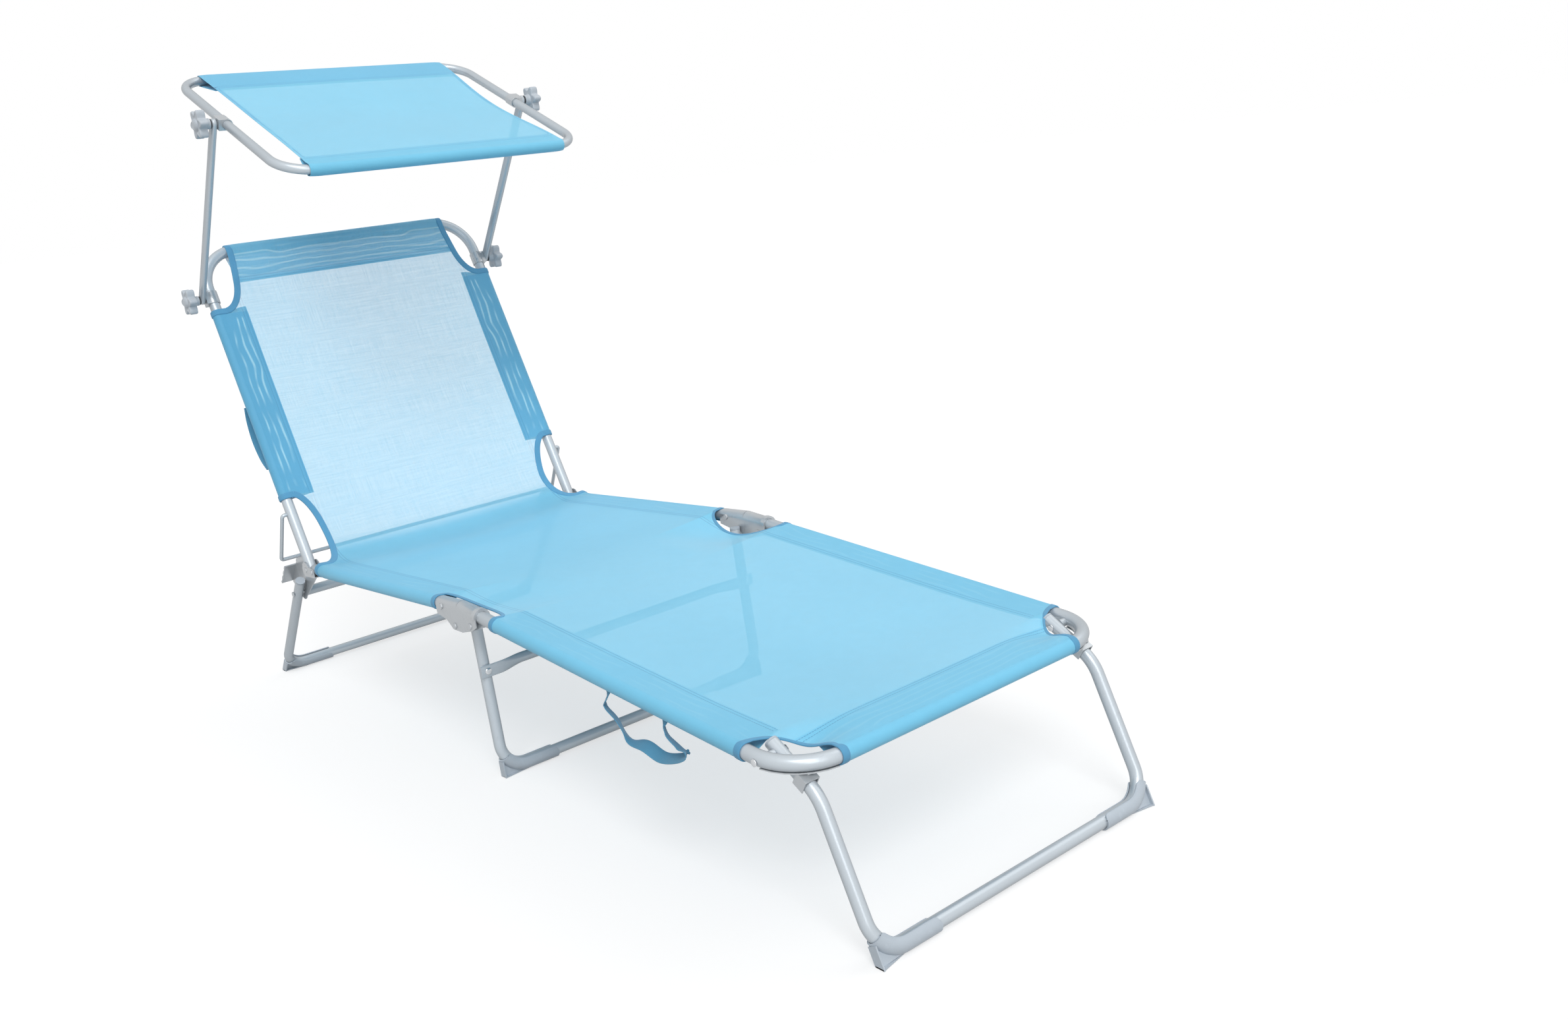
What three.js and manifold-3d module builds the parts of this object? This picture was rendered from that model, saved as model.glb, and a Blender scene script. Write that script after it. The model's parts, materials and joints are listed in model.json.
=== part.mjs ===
// Folding sun lounger with a tilting canopy. Millimetres, +Z up, X across, foot end towards -Y.
import * as THREE from 'three';
import { mergeVertices } from 'three/addons/utils/BufferGeometryUtils.js';
import Module from 'manifold-3d';

const wasm = await Module();
wasm.setup();

// Tubes, plates and running gaps
const RAIL_R = 10;
const RAIL_WALL = 1.2;
const LEG_R = 9;
const LEG_WALL = 1.1;
const CANOPY_R = 8;
const CANOPY_WALL = 1;
const WIRE_R = 3.5;
const GAP = 0.3;
const PLATE = 1.6;
const PIN_R = 3;
const PIN_GAP = 0.4;
const RIVET_HEAD_R = 5;
const RIVET_HEAD_T = 1.8;
const HEAD_START_SHARE = 0.8;
const CUT = 6;
const TUBE_SIDES = 14;
const BORE_SIDES = 6;
const PIN_SIDES = 10;
const BEND_STEPS = 4;
const ARCH_STEPS = 8;
const ARC_STEPS = 6;
const SLING_ROWS = 8;
const LOBE_STEPS = 5;
const QUARTER_DEG = 90;

// Main frame
const HALF_W = 280;
const FOOT_END_Z = 225;
const FOOT_CORNER_R = 72;
const KINK_Y = 763;
const KINK_Z = 287;
const HINGE_Y = 1361;
const HINGE_Z = 256;
const BACK_LEN = 639;
const BACK_DEG = 64.7;
const BACK_CORNER_R = 72;
const BACK_TAIL = 12;

// Middle hinge bracket
const FOOT_PIVOT_Y = 724;
const FOOT_PIVOT_DROP = 16;
const FOOT_RAIL_SET_BACK = 6;
const FOOT_LUG_R = 8;
const FOOT_LUG_LEN = 34;
const FOOT_LUG_HALF_T = 6;
const LUG_FROM_DEG = -100;
const LUG_TO_DEG = 60;
const MID_BRACKET_FRONT = 704;
const MID_BRACKET_BACK = 830;
const MID_BRACKET_DEPTH = 50;
const MID_BRACKET_SKIRT = 13;
const MID_COLLAR_LEN = 9;
const MID_COLLAR_T = 2.2;
const SEAT_RAIL_START = 765;
const SEAT_RIVET_Y = 812;

// Rear ratchet bracket, lengths from the back hinge
const RATCHET_FRONT = 36;
const RATCHET_WEB_END = 17;
const EAR_R = 15.5;
const EAR_FROM_DEG = 150;
const EAR_TO_DEG = 20;
const STAND_UP = 110;
const STAND_Y = 53;
const STAND_DROP = 93.4;
const NOTCHES = 5;
const NOTCH_PITCH = 15;
const NOTCH_DEG = -48;
const NOTCH_TIP = 2.4;
const NOTCH_DEPTH = 4;
const NOTCH_END = 7;
const RACK_BACK = 6.2;
const RACK_FROM = 6;
const OUTER_TO_DEG = -60;
const SWING_FROM_DEG = 104;
const SWING_LEFT_DEG = 2.5;
const REAR_PIVOT_Y = 97;
const REAR_PIVOT_DROP = 64;
const REAR_BOSS_R = 15;
const BOSS_FROM_DEG = -40;
const BOSS_TO_DEG = -150;
const SEAT_RAIL_END = 17;

// Legs
const GROUND_Z = 12;
const LEG_CORNER_R = 42;
const LEG_PLUG_R = 8;
const FRONT_LEG_IN = 30;
const FRONT_PIVOT_Y = 60;
const FRONT_PIVOT_DROP = 2;
const FRONT_BEND_Y = -2;
const FRONT_BEND_Z = 190;
const FRONT_BEND_R = 60;
const FRONT_FOOT_Y = -76;
const FRONT_STUB = 14;
const FRONT_SPACER_R = 6;
const MID_LEG_IN = 22;
const MID_PIVOT_Y = 775;
const MID_PIVOT_DROP = 27;
const MID_FOOT_Y = 762;
const MID_STUB = 10;
const REAR_FOOT_Y = 1610;
const REAR_STUB = 35;
const BRACE_R = 8;
const BRACE_Z = 178;
const BRACE_TAB_T = 2.4;
const BRACE_TAB_H = 20;
const BRACE_TAB_LEN = 24;
const BRACE_NECK = 45;
const CROSS_R = 9;
const PLUG_T = 3;

// Corner shoes
const SHOE_WALL = 2.4;
const SHOE_RUN = 94;
const SHOE_BEND_DEG = 58;
const SHOE_LIP = 3;
const SHOE_WEB_T = 4;
const SHOE_BASE_T = 2;
const SHOE_BASE_HALF = 7;
const SHOE_END_T = 2.2;
const SHOE_END_OUT = 4;
const SHOE_END_UP = 14;
const SHOE_OPEN_UP = 12;
const SHOE_OPEN_R = 9;

// Corner catch of the front leg
const CATCH_T = 1.6;
const CATCH_LIP = 7;
const CATCH_LEN = 18;
const CATCH_Y = 18;
const CATCH_FROM_DEG = 190;
const CATCH_SPAN_DEG = 75;

// Canopy
const CANOPY_LEN = 456.7;
const CANOPY_DEG = 23.76;
const CANOPY_AHEAD = 239.3;
const CANOPY_CORNER_R = 58;
const CANOPY_CLOTH_IN = 60;
const CANOPY_JOINT_GAP = 0.6;
const CANOPY_DOWEL_HALF = 30;
const CANOPY_SAG = 14;
const ARM_DOWN = 91;
const ARM_LEN = 388.7;
const ARM_DEG = 129.49;
const ARM_T = 9;
const ARM_W = 17;
const ARM_END = 13;
const CLAMP_T = 1.8;
const CLAMP_LEN = 24;
const PAD_T = 2;
const PAD_W = 19;
const BOLT_R = 3;
const WASHER_R = 8;
const WASHER_T = 1.4;
const KNOB_R = 21.5;
const KNOB_LOBE = 4;
const KNOB_LOBES = 6;
const KNOB_T = 15;
const KNOB_HUB_R = 9;
const KNOB_HUB_T = 9;
const KNOB_WEB = 5;

// Slings and webbing
const CLOTH_T = 1.7;
const SLING_SAG = 16;
const SLING_GAP = 0.3;
const FOOT_SLEEVE_START = 92;
const FOOT_SLEEVE_END = 664;
const SEAT_SLEEVE_START = 838;
const SEAT_SLEEVE_END = 42;
const BACK_SLEEVE_START = 138;
const BACK_SLEEVE_TOP = 119;
const CUT_IN = 50;
const SEAT_EDGE = 16;
const BACK_EDGE = 14;
const CORNER_CUT = 73;
const CORNER_BOW = 15;
const TOP_CUT_IN = 73;
const STRAP_W = 22;
const STRAP_T = 1.6;
const STRAP_OUT = 14;
const STRAP_BACK_Y = 372;
const STRAP_FRONT_Y = 246;
const STRAP_DROP = 58;
const STRAP_SWING = 42;
const TIE_LOW = 205;
const TIE_HIGH = 330;

const RAD = Math.PI / 180;
const FULL_TURN = Math.PI * 2;

// Places worked out from the sizes above
const footSlope = Math.atan2(KINK_Z - FOOT_END_Z, KINK_Y);
const seatSlope = Math.atan2(HINGE_Z - KINK_Z, HINGE_Y - KINK_Y);
const backAngle = BACK_DEG * RAD;
const footAxisZ = (y) => FOOT_END_Z + y * Math.tan(footSlope);
const seatAxisZ = (y) => KINK_Z + (y - KINK_Y) * Math.tan(seatSlope);
const backPoint = (along, off = 0) => [
  HINGE_Y + along * Math.cos(backAngle) - off * Math.sin(backAngle),
  HINGE_Z + along * Math.sin(backAngle) + off * Math.cos(backAngle),
];
const footPivot = [FOOT_PIVOT_Y, footAxisZ(FOOT_PIVOT_Y) - FOOT_PIVOT_DROP];
const frontPivot = [FRONT_PIVOT_Y, footAxisZ(FRONT_PIVOT_Y) - FRONT_PIVOT_DROP];
const midPivot = [MID_PIVOT_Y, seatAxisZ(MID_PIVOT_Y) - MID_PIVOT_DROP];
const rearPivot = [HINGE_Y + REAR_PIVOT_Y, HINGE_Z - REAR_PIVOT_DROP];
const standPivot = backPoint(STAND_UP);
const standBar = [standPivot[0] + STAND_Y, standPivot[1] - STAND_DROP];
const frontLegHalf = HALF_W - FRONT_LEG_IN;
const midLegHalf = HALF_W - MID_LEG_IN;
const backSleeveEnd = BACK_LEN - BACK_SLEEVE_TOP;
const armPivot = backPoint(BACK_LEN - ARM_DOWN);
const armAngle = ARM_DEG * RAD;
const canopyPivot = [
  armPivot[0] + ARM_LEN * Math.cos(armAngle),
  armPivot[1] + ARM_LEN * Math.sin(armAngle),
];
const canopySlope = CANOPY_DEG * RAD;
const channelIn = RAIL_R + GAP;
const channelOut = channelIn + PLATE;
const clampOut = (tubeR) => tubeR + GAP + CLAMP_T;
const padFace = RAIL_R + GAP + CLAMP_T + PAD_T;
const armIn = HALF_W + padFace + GAP;
const armOut = armIn + ARM_T;
const washerIn = armOut + GAP;
const knobIn = washerIn + WASHER_T + GAP;
const shoeR = LEG_R + GAP + SHOE_WALL;

// Geometry helpers
const vec = (x, y, z) => new THREE.Vector3(x, y, z);

function ngon(radius, sides, cx = 0, cy = 0) {
  const points = [];
  for (let i = 0; i < sides; i++) {
    const a = FULL_TURN * (i + 1 / 2) / sides;
    points.push(new THREE.Vector2(cx + radius * Math.cos(a), cy + radius * Math.sin(a)));
  }
  return points;
}

function outline(points) {
  return new THREE.Shape(points.map((p) => new THREE.Vector2(p[0], p[1])));
}

// Signed volume of a closed triangle mesh, used to turn faces outward
function signedVolume(geometry) {
  const p = geometry.attributes.position;
  const index = geometry.index;
  const count = index ? index.count : p.count;
  const at = (i) => new THREE.Vector3().fromBufferAttribute(p, index ? index.getX(i) : i);
  let sum = 0;
  for (let i = 0; i < count; i += 3) {
    sum += at(i).dot(at(i + 1).cross(at(i + 2)));
  }
  return sum / 6;
}

function welded(geometry) {
  const g = geometry.clone();
  g.deleteAttribute('normal');
  g.deleteAttribute('uv');
  const merged = mergeVertices(g, RAIL_R * 1e-5);
  if (signedVolume(merged) < 0) {
    const a = merged.index.array;
    for (let i = 0; i < a.length; i += 3) {
      const keep = a[i];
      a[i] = a[i + 1];
      a[i + 1] = keep;
    }
  }
  return merged;
}

function solid(geometry) {
  const g = welded(geometry);
  return new wasm.Manifold(new wasm.Mesh({
    numProp: 3,
    vertProperties: Float32Array.from(g.attributes.position.array),
    triVerts: Uint32Array.from(g.index.array),
  }));
}

function fromSolid(manifold) {
  const mesh = manifold.getMesh();
  const g = new THREE.BufferGeometry();
  const places = new Float32Array(mesh.numVert * 3);
  for (let i = 0; i < mesh.numVert; i++) {
    for (let k = 0; k < 3; k++) {
      places[i * 3 + k] = mesh.vertProperties[i * mesh.numProp + k];
    }
  }
  g.setAttribute('position', new THREE.BufferAttribute(places, 3));
  g.setIndex(new THREE.BufferAttribute(Uint32Array.from(mesh.triVerts), 1));
  return g;
}

const join = (...all) => all.reduce((a, b) => a.add(b));
const minus = (a, ...cuts) => cuts.reduce((left, b) => left.subtract(b), a);

// Curve whose rings stand only where they are wanted: at the ends, along bends
class RingPath extends THREE.Curve {
  constructor(points, tangents) {
    super();
    this.points = points;
    this.tangents = tangents;
  }

  getPoint(t) {
    return this.points[Math.round(t * (this.points.length - 1))].clone();
  }

  getPointAt(t) {
    return this.getPoint(t);
  }

  getTangent(t) {
    return this.tangents[Math.round(t * (this.tangents.length - 1))].clone();
  }

  getTangentAt(t) {
    return this.getTangent(t);
  }
}

// Corner points joined by straight runs and round bends
function bentPath(corners, radii, bendSteps = BEND_STEPS) {
  const points = [corners[0].clone()];
  const last = corners.length - 1;
  const tangents = [corners[1].clone().sub(corners[0]).normalize()];
  for (let i = 1; i < last; i++) {
    const before = corners[i].clone().sub(corners[i - 1]).normalize();
    const after = corners[i + 1].clone().sub(corners[i]).normalize();
    const turn = before.angleTo(after);
    const radius = radii[i - 1];
    const set = radius * Math.tan(turn / 2);
    const start = corners[i].clone().addScaledVector(before, -set);
    const inward = after.clone().addScaledVector(before, -after.dot(before)).normalize();
    const centre = start.clone().addScaledVector(inward, radius);
    const steps = Math.max(2, Math.round(bendSteps * turn * 2 / Math.PI));
    for (let k = 0; k <= steps; k++) {
      const a = turn * k / steps;
      const p = centre.clone().addScaledVector(inward, -radius * Math.cos(a));
      p.addScaledVector(before, radius * Math.sin(a));
      points.push(p);
      const t = before.clone().multiplyScalar(Math.cos(a)).addScaledVector(inward, Math.sin(a));
      tangents.push(t.normalize());
    }
  }
  points.push(corners[last].clone());
  tangents.push(corners[last].clone().sub(corners[last - 1]).normalize());
  return new RingPath(points, tangents);
}

function sweep(shape, path) {
  return new THREE.ExtrudeGeometry(shape, {
    steps: path.points.length - 1, bevelEnabled: false, extrudePath: path,
  });
}

function tubeShape(outer, wall, sides = TUBE_SIDES, bore = BORE_SIDES) {
  const shape = new THREE.Shape(ngon(outer, sides));
  if (wall) {
    shape.holes.push(new THREE.Path(ngon(outer - wall, bore)));
  }
  return shape;
}

const tube = (path, outer, wall, sides, bore) => sweep(tubeShape(outer, wall, sides, bore), path);
const rod = (path, radius, sides = TUBE_SIDES) => solid(sweep(new THREE.Shape(ngon(radius, sides)), path));
const straight = (a, b) => bentPath([a, b], []);

function pinX(x0, x1, y, z, radius, sides = PIN_SIDES) {
  return rod(straight(vec(x0, y, z), vec(x1, y, z)), radius, sides);
}

// Outline in Y and Z pushed through X from x0 to x1
function slabX(points, x0, x1) {
  const g = new THREE.ExtrudeGeometry(outline(points), { depth: Math.abs(x1 - x0), bevelEnabled: false });
  g.applyMatrix4(new THREE.Matrix4().makeBasis(vec(0, 1, 0), vec(0, 0, 1), vec(1, 0, 0)));
  g.translate(Math.min(x0, x1), 0, 0);
  return solid(g);
}

function arcPoints(cy, cz, radius, from, to, steps) {
  const points = [];
  for (let i = 0; i <= steps; i++) {
    const a = (from + (to - from) * i / steps) * RAD;
    points.push([cy + radius * Math.cos(a), cz + radius * Math.sin(a)]);
  }
  return points;
}

// A block with its own long axis, turned about X by tilt
function block(x0, x1, y0, y1, z0, z1) {
  const g = new THREE.BoxGeometry(Math.abs(x1 - x0), Math.abs(y1 - y0), Math.abs(z1 - z0));
  g.translate((x0 + x1) / 2, (y0 + y1) / 2, (z0 + z1) / 2);
  return g;
}

// Closed shell between two grids of points, top(u, v) and bottom(u, v)
function sheetSolid(top, bottom, nu, nv) {
  const places = [];
  const index = [];
  const id = (layer, i, j) => layer * (nu + 1) * (nv + 1) + j * (nu + 1) + i;
  for (const surface of [top, bottom]) {
    for (let j = 0; j <= nv; j++) {
      for (let i = 0; i <= nu; i++) {
        places.push(...surface(i / nu, j / nv));
      }
    }
  }
  const quad = (a, b, c, d) => index.push(a, b, c, a, c, d);
  for (let j = 0; j < nv; j++) {
    for (let i = 0; i < nu; i++) {
      quad(id(0, i, j), id(0, i + 1, j), id(0, i + 1, j + 1), id(0, i, j + 1));
      quad(id(1, i, j), id(1, i, j + 1), id(1, i + 1, j + 1), id(1, i + 1, j));
    }
  }
  for (let i = 0; i < nu; i++) {
    quad(id(1, i, 0), id(1, i + 1, 0), id(0, i + 1, 0), id(0, i, 0));
    quad(id(0, i, nv), id(0, i + 1, nv), id(1, i + 1, nv), id(1, i, nv));
  }
  for (let j = 0; j < nv; j++) {
    quad(id(0, 0, j), id(0, 0, j + 1), id(1, 0, j + 1), id(1, 0, j));
    quad(id(1, nu, j), id(1, nu, j + 1), id(0, nu, j + 1), id(0, nu, j));
  }
  const g = new THREE.BufferGeometry();
  g.setAttribute('position', new THREE.Float32BufferAttribute(places, 3));
  g.setIndex(index);
  return solid(g);
}

// Places a shape drawn along a rail: local Y runs along it, local Z stands off it
function onRail(manifold, y, z, angle) {
  const m = new THREE.Matrix4().makeRotationX(angle).setPosition(0, y, z);
  const g = fromSolid(manifold);
  g.applyMatrix4(m);
  return solid(g);
}

const part = new THREE.Group();

const looks = {
  tube: { color: 0xc4c9cc, roughness: 0.32, metalness: 0.85 },
  plate: { color: 0xb4babd, roughness: 0.38, metalness: 0.8 },
  shoe: { color: 0xa9b4bb, roughness: 0.5, metalness: 0 },
  knob: { color: 0xa4acb4, roughness: 0.45, metalness: 0 },
  black: { color: 0x2c2f31, roughness: 0.5, metalness: 0.2 },
  sling: { color: 0x93d3f3, roughness: 0.8, metalness: 0 },
  back: { color: 0xb6e2f5, roughness: 0.8, metalness: 0 },
  webbing: { color: 0x4a87a8, roughness: 0.85, metalness: 0 },
};

function put(name, shape, look) {
  const geometry = shape.isBufferGeometry ? welded(shape) : fromSolid(shape);
  const drawn = geometry.toNonIndexed();
  drawn.computeVertexNormals();
  const mesh = new THREE.Mesh(drawn, new THREE.MeshStandardMaterial(looks[look]));
  mesh.name = name;
  part.add(mesh);
}

const sides = [['left', -1], ['right', 1]];

// Seat rails, one each side, plain tubes between the two hinges
function seatRail(s) {
  const a = vec(s * HALF_W, SEAT_RAIL_START, seatAxisZ(SEAT_RAIL_START));
  const end = HINGE_Y - SEAT_RAIL_END;
  return tube(straight(a, vec(s * HALF_W, end, seatAxisZ(end))), RAIL_R, RAIL_WALL);
}

// Inverted channel with a rounded closed top, following both rails
function midBracket(s) {
  const arch = [];
  const steps = ARCH_STEPS;
  for (let i = 0; i <= steps; i++) {
    const a = Math.PI * i / steps;
    arch.push([channelOut * Math.cos(a), channelOut * Math.sin(a)]);
  }
  arch.push([-channelOut, -MID_BRACKET_DEPTH], [-channelIn, -MID_BRACKET_DEPTH]);
  for (let i = steps; i >= 0; i--) {
    const a = Math.PI * i / steps;
    arch.push([channelIn * Math.cos(a), channelIn * Math.sin(a)]);
  }
  arch.push([channelIn, -MID_BRACKET_DEPTH], [channelOut, -MID_BRACKET_DEPTH]);
  const x = s * HALF_W;
  const at = (y) => vec(x, y, y < KINK_Y ? footAxisZ(y) : seatAxisZ(y));
  const alongY = (points, y0, y1) => {
    const g = new THREE.ExtrudeGeometry(outline(points), { depth: at(y0).distanceTo(at(y1)), bevelEnabled: false });
    const dir = at(y1).sub(at(y0)).normalize();
    const up = vec(1, 0, 0).cross(dir);
    g.applyMatrix4(new THREE.Matrix4().makeBasis(vec(-1, 0, 0), up, dir).setPosition(at(y0)));
    return solid(g);
  };
  const channel = join(
    alongY(arch, MID_BRACKET_FRONT, KINK_Y),
    alongY(arch, KINK_Y - GAP, MID_BRACKET_BACK),
  );
  const skirt = MID_BRACKET_SKIRT;
  const low = MID_BRACKET_DEPTH;
  const pivotHalf = RAIL_R + skirt;
  const side = slabX([
    [MID_BRACKET_FRONT, KINK_Z + low],
    [MID_BRACKET_FRONT, footAxisZ(MID_BRACKET_FRONT) - skirt],
    [footPivot[0] - RIVET_HEAD_R, footPivot[1] - RIVET_HEAD_R - PLATE],
    [MID_PIVOT_Y - pivotHalf, midPivot[1] - RIVET_HEAD_R - PLATE],
    [MID_PIVOT_Y + RIVET_HEAD_R + PLATE, midPivot[1] - RIVET_HEAD_R - PLATE],
    [MID_PIVOT_Y + pivotHalf, midPivot[1] + RIVET_HEAD_R],
    [MID_BRACKET_BACK, seatAxisZ(MID_BRACKET_BACK) - skirt],
    [MID_BRACKET_BACK, KINK_Z + low],
  ], x - channelOut - CUT, x + channelOut + CUT);
  const body = channel.intersect(side);
  const collarEnd = MID_BRACKET_FRONT + MID_COLLAR_LEN;
  const lip = MID_COLLAR_T + channelOut;
  const collarShape = [];
  for (let i = 0; i <= steps; i++) {
    const a = Math.PI * i / steps;
    collarShape.push([lip * Math.cos(a), lip * Math.sin(a)]);
  }
  for (let i = steps; i >= 0; i--) {
    const a = Math.PI * i / steps;
    collarShape.push([channelIn * Math.cos(a), channelIn * Math.sin(a)]);
  }
  const collar = alongY(collarShape, MID_BRACKET_FRONT, collarEnd);
  const face = channelOut + RIVET_HEAD_T;
  const footPin = pinX(x - face, x + face, footPivot[0], footPivot[1], PIN_R);
  const heads = [];
  for (const [y, z] of [[footPivot[0], footPivot[1]], [SEAT_RIVET_Y, seatAxisZ(SEAT_RIVET_Y)]]) {
    for (const t of [-1, 1]) {
      heads.push(pinX(x + t * (channelOut - PLATE / 2), x + t * face, y, z, RIVET_HEAD_R));
    }
  }
  const legFar = s * (midLegHalf - LEG_R - GAP);
  const legPin = pinX(x + s * face, legFar, midPivot[0], midPivot[1], PIN_R);
  const legHeadOut = pinX(x + s * (channelOut - PLATE / 2), x + s * face, midPivot[0], midPivot[1], RIVET_HEAD_R);
  const legHeadIn = pinX(legFar, legFar - s * RIVET_HEAD_T, midPivot[0], midPivot[1], RIVET_HEAD_R);
  return join(body, collar, footPin, ...heads, legPin, legHeadOut, legHeadIn);
}

// Notched double plate that carries the back hinge, the stand and the rear leg
function ratchetBracket(s) {
  const x = s * HALF_W;
  const dir = [Math.cos(NOTCH_DEG * RAD), Math.sin(NOTCH_DEG * RAD)];
  const out = [-dir[1], dir[0]];
  const bar = standBar;
  const on = (along, off) => [bar[0] + along * dir[0] + off * out[0], bar[1] + along * dir[1] + off * out[1]];
  const half = WIRE_R + GAP;
  const pts = [];
  pts.push([HINGE_Y - RATCHET_FRONT, seatAxisZ(HINGE_Y - RATCHET_FRONT) + RAIL_R * 2 / 5]);
  pts.push(...arcPoints(HINGE_Y, HINGE_Z, EAR_R, EAR_FROM_DEG, EAR_TO_DEG, ARC_STEPS));
  pts.push(...arcPoints(HINGE_Y + STAND_Y, HINGE_Z - STAND_DROP, STAND_UP - half,
    SWING_FROM_DEG, BACK_DEG + SWING_LEFT_DEG, ARC_STEPS));
  const teeth = [];
  for (let i = 0; i < NOTCHES; i++) {
    const s0 = i * NOTCH_PITCH;
    if (i > 0) {
      teeth.push(on(s0 - half, -NOTCH_TIP));
      teeth.push(on(s0 - half, -NOTCH_TIP - NOTCH_DEPTH / 2));
      teeth.push(on(s0 - half / 2, -half));
    }
    teeth.push(on(s0 + half / 2, -half));
    teeth.push(on(s0 + half, -NOTCH_TIP - NOTCH_DEPTH / 2));
    teeth.push(on(s0 + half, -NOTCH_TIP));
  }
  const lastAlong = (NOTCHES - 1) * NOTCH_PITCH + half + NOTCH_END;
  teeth.push(on(lastAlong, -NOTCH_TIP - NOTCH_DEPTH));
  pts.push(...teeth);
  pts.push(...arcPoints(...rearPivot, REAR_BOSS_R, BOSS_FROM_DEG, BOSS_TO_DEG, ARC_STEPS));
  pts.push([HINGE_Y + EAR_R, HINGE_Z - EAR_R * 3 / 2]);
  pts.push([HINGE_Y - RATCHET_WEB_END, seatAxisZ(HINGE_Y - RATCHET_WEB_END) - channelOut]);
  pts.push([HINGE_Y - RATCHET_FRONT, seatAxisZ(HINGE_Y - RATCHET_FRONT) - channelOut]);
  const upper = [
    pts[0], ...arcPoints(HINGE_Y, HINGE_Z, EAR_R, EAR_FROM_DEG, OUTER_TO_DEG, ARC_STEPS),
    ...pts.slice(-2),
  ];
  const outer = slabX(upper, x + s * channelIn, x + s * channelOut);
  // the flange starts below the first notch, so that the back tube clears it when the back lies flat
  const rackEnd = (NOTCHES - 1) * NOTCH_PITCH + half * 2;
  const rack = slabX([
    ...teeth.slice(RACK_FROM, -1), on(rackEnd, -NOTCH_TIP), on(rackEnd, -RACK_BACK),
    on(NOTCH_PITCH + half / 2, -RACK_BACK),
  ], x - s * channelIn, x + s * channelOut);
  const inner = slabX(pts, x - s * channelIn, x - s * channelOut);
  const y0 = HINGE_Y - RATCHET_FRONT;
  const y1 = HINGE_Y - RATCHET_WEB_END;
  const web = slabX([
    [y0, seatAxisZ(y0) - channelIn], [y1, seatAxisZ(y1) - channelIn],
    [y1, seatAxisZ(y1) - channelOut], [y0, seatAxisZ(y0) - channelOut],
  ], x - channelOut, x + channelOut);
  const face = channelOut + RIVET_HEAD_T;
  const pins = [];
  for (const [y, z, near] of [[HINGE_Y, HINGE_Z, channelOut - PLATE / 2], [...rearPivot, LEG_R + GAP]]) {
    pins.push(pinX(x - s * face, x + s * (near + RIVET_HEAD_T), y, z, PIN_R));
    pins.push(pinX(x - s * (channelOut - PLATE / 2), x - s * face, y, z, RIVET_HEAD_R));
    pins.push(pinX(x + s * near, x + s * (near + RIVET_HEAD_T), y, z, RIVET_HEAD_R));
  }
  const railY = HINGE_Y - (RATCHET_FRONT + RATCHET_WEB_END) / 2;
  const railHead = pinX(x + s * (channelOut - PLATE / 2), x + s * face, railY, seatAxisZ(railY) - PLATE,
    RIVET_HEAD_R);
  return join(outer, inner, rack, web, ...pins, railHead);
}

// Straight tube between the two ratchet brackets, at the rear leg pivot
function crossTube() {
  const end = HALF_W - channelOut - GAP;
  const a = vec(-end, rearPivot[0], rearPivot[1]);
  return tube(straight(a, vec(end, rearPivot[0], rearPivot[1])), CROSS_R, LEG_WALL);
}

const footCorners = () => {
  const end = FOOT_PIVOT_Y - FOOT_RAIL_SET_BACK;
  return [
    vec(-HALF_W, end, footAxisZ(end)), vec(-HALF_W, 0, FOOT_END_Z),
    vec(HALF_W, 0, FOOT_END_Z), vec(HALF_W, end, footAxisZ(end)),
  ];
};

// Foot frame: one bent tube with its pivot lugs and the leg spacers
function footTube() {
  const radii = [FOOT_CORNER_R, FOOT_CORNER_R];
  let body = solid(tube(bentPath(footCorners(), radii), RAIL_R, RAIL_WALL));
  const path = bentPath(footCorners(), radii);
  const core = rod(path, RAIL_R - RAIL_WALL, BORE_SIDES);
  for (const [, s] of sides) {
    const x = s * HALF_W;
    const [py, pz] = footPivot;
    const start = py - FOOT_LUG_LEN;
    const lug = slabX([
      [start, footAxisZ(start)], [start, footAxisZ(start) - RAIL_R - PLATE],
      ...arcPoints(py, pz, FOOT_LUG_R, LUG_FROM_DEG, LUG_TO_DEG, ARC_STEPS),
      [py - FOOT_RAIL_SET_BACK, footAxisZ(py)],
    ], x - FOOT_LUG_HALF_T, x + FOOT_LUG_HALF_T);
    body = join(body, minus(lug, core));
    body = minus(body, pinX(x - RAIL_R, x + RAIL_R, py, pz, PIN_R + PIN_GAP));
    const legIn = s * (frontLegHalf + LEG_R + GAP);
    const railIn = x - s * (RAIL_R - RAIL_WALL / 2);
    const [fy, fz] = frontPivot;
    const farEnd = s * (frontLegHalf - LEG_R - GAP);
    const spacer = pinX(railIn, legIn, fy, fz, FRONT_SPACER_R);
    const pin = pinX(railIn, farEnd, fy, fz, PIN_R);
    const headIn = pinX(farEnd, farEnd - s * RIVET_HEAD_T, fy, fz, RIVET_HEAD_R);
    const headOut = pinX(x + s * RAIL_R * HEAD_START_SHARE, x + s * (RAIL_R + RIVET_HEAD_T), fy, fz, RIVET_HEAD_R);
    body = join(body, spacer, pin, headIn, headOut);
  }
  return body;
}

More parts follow.
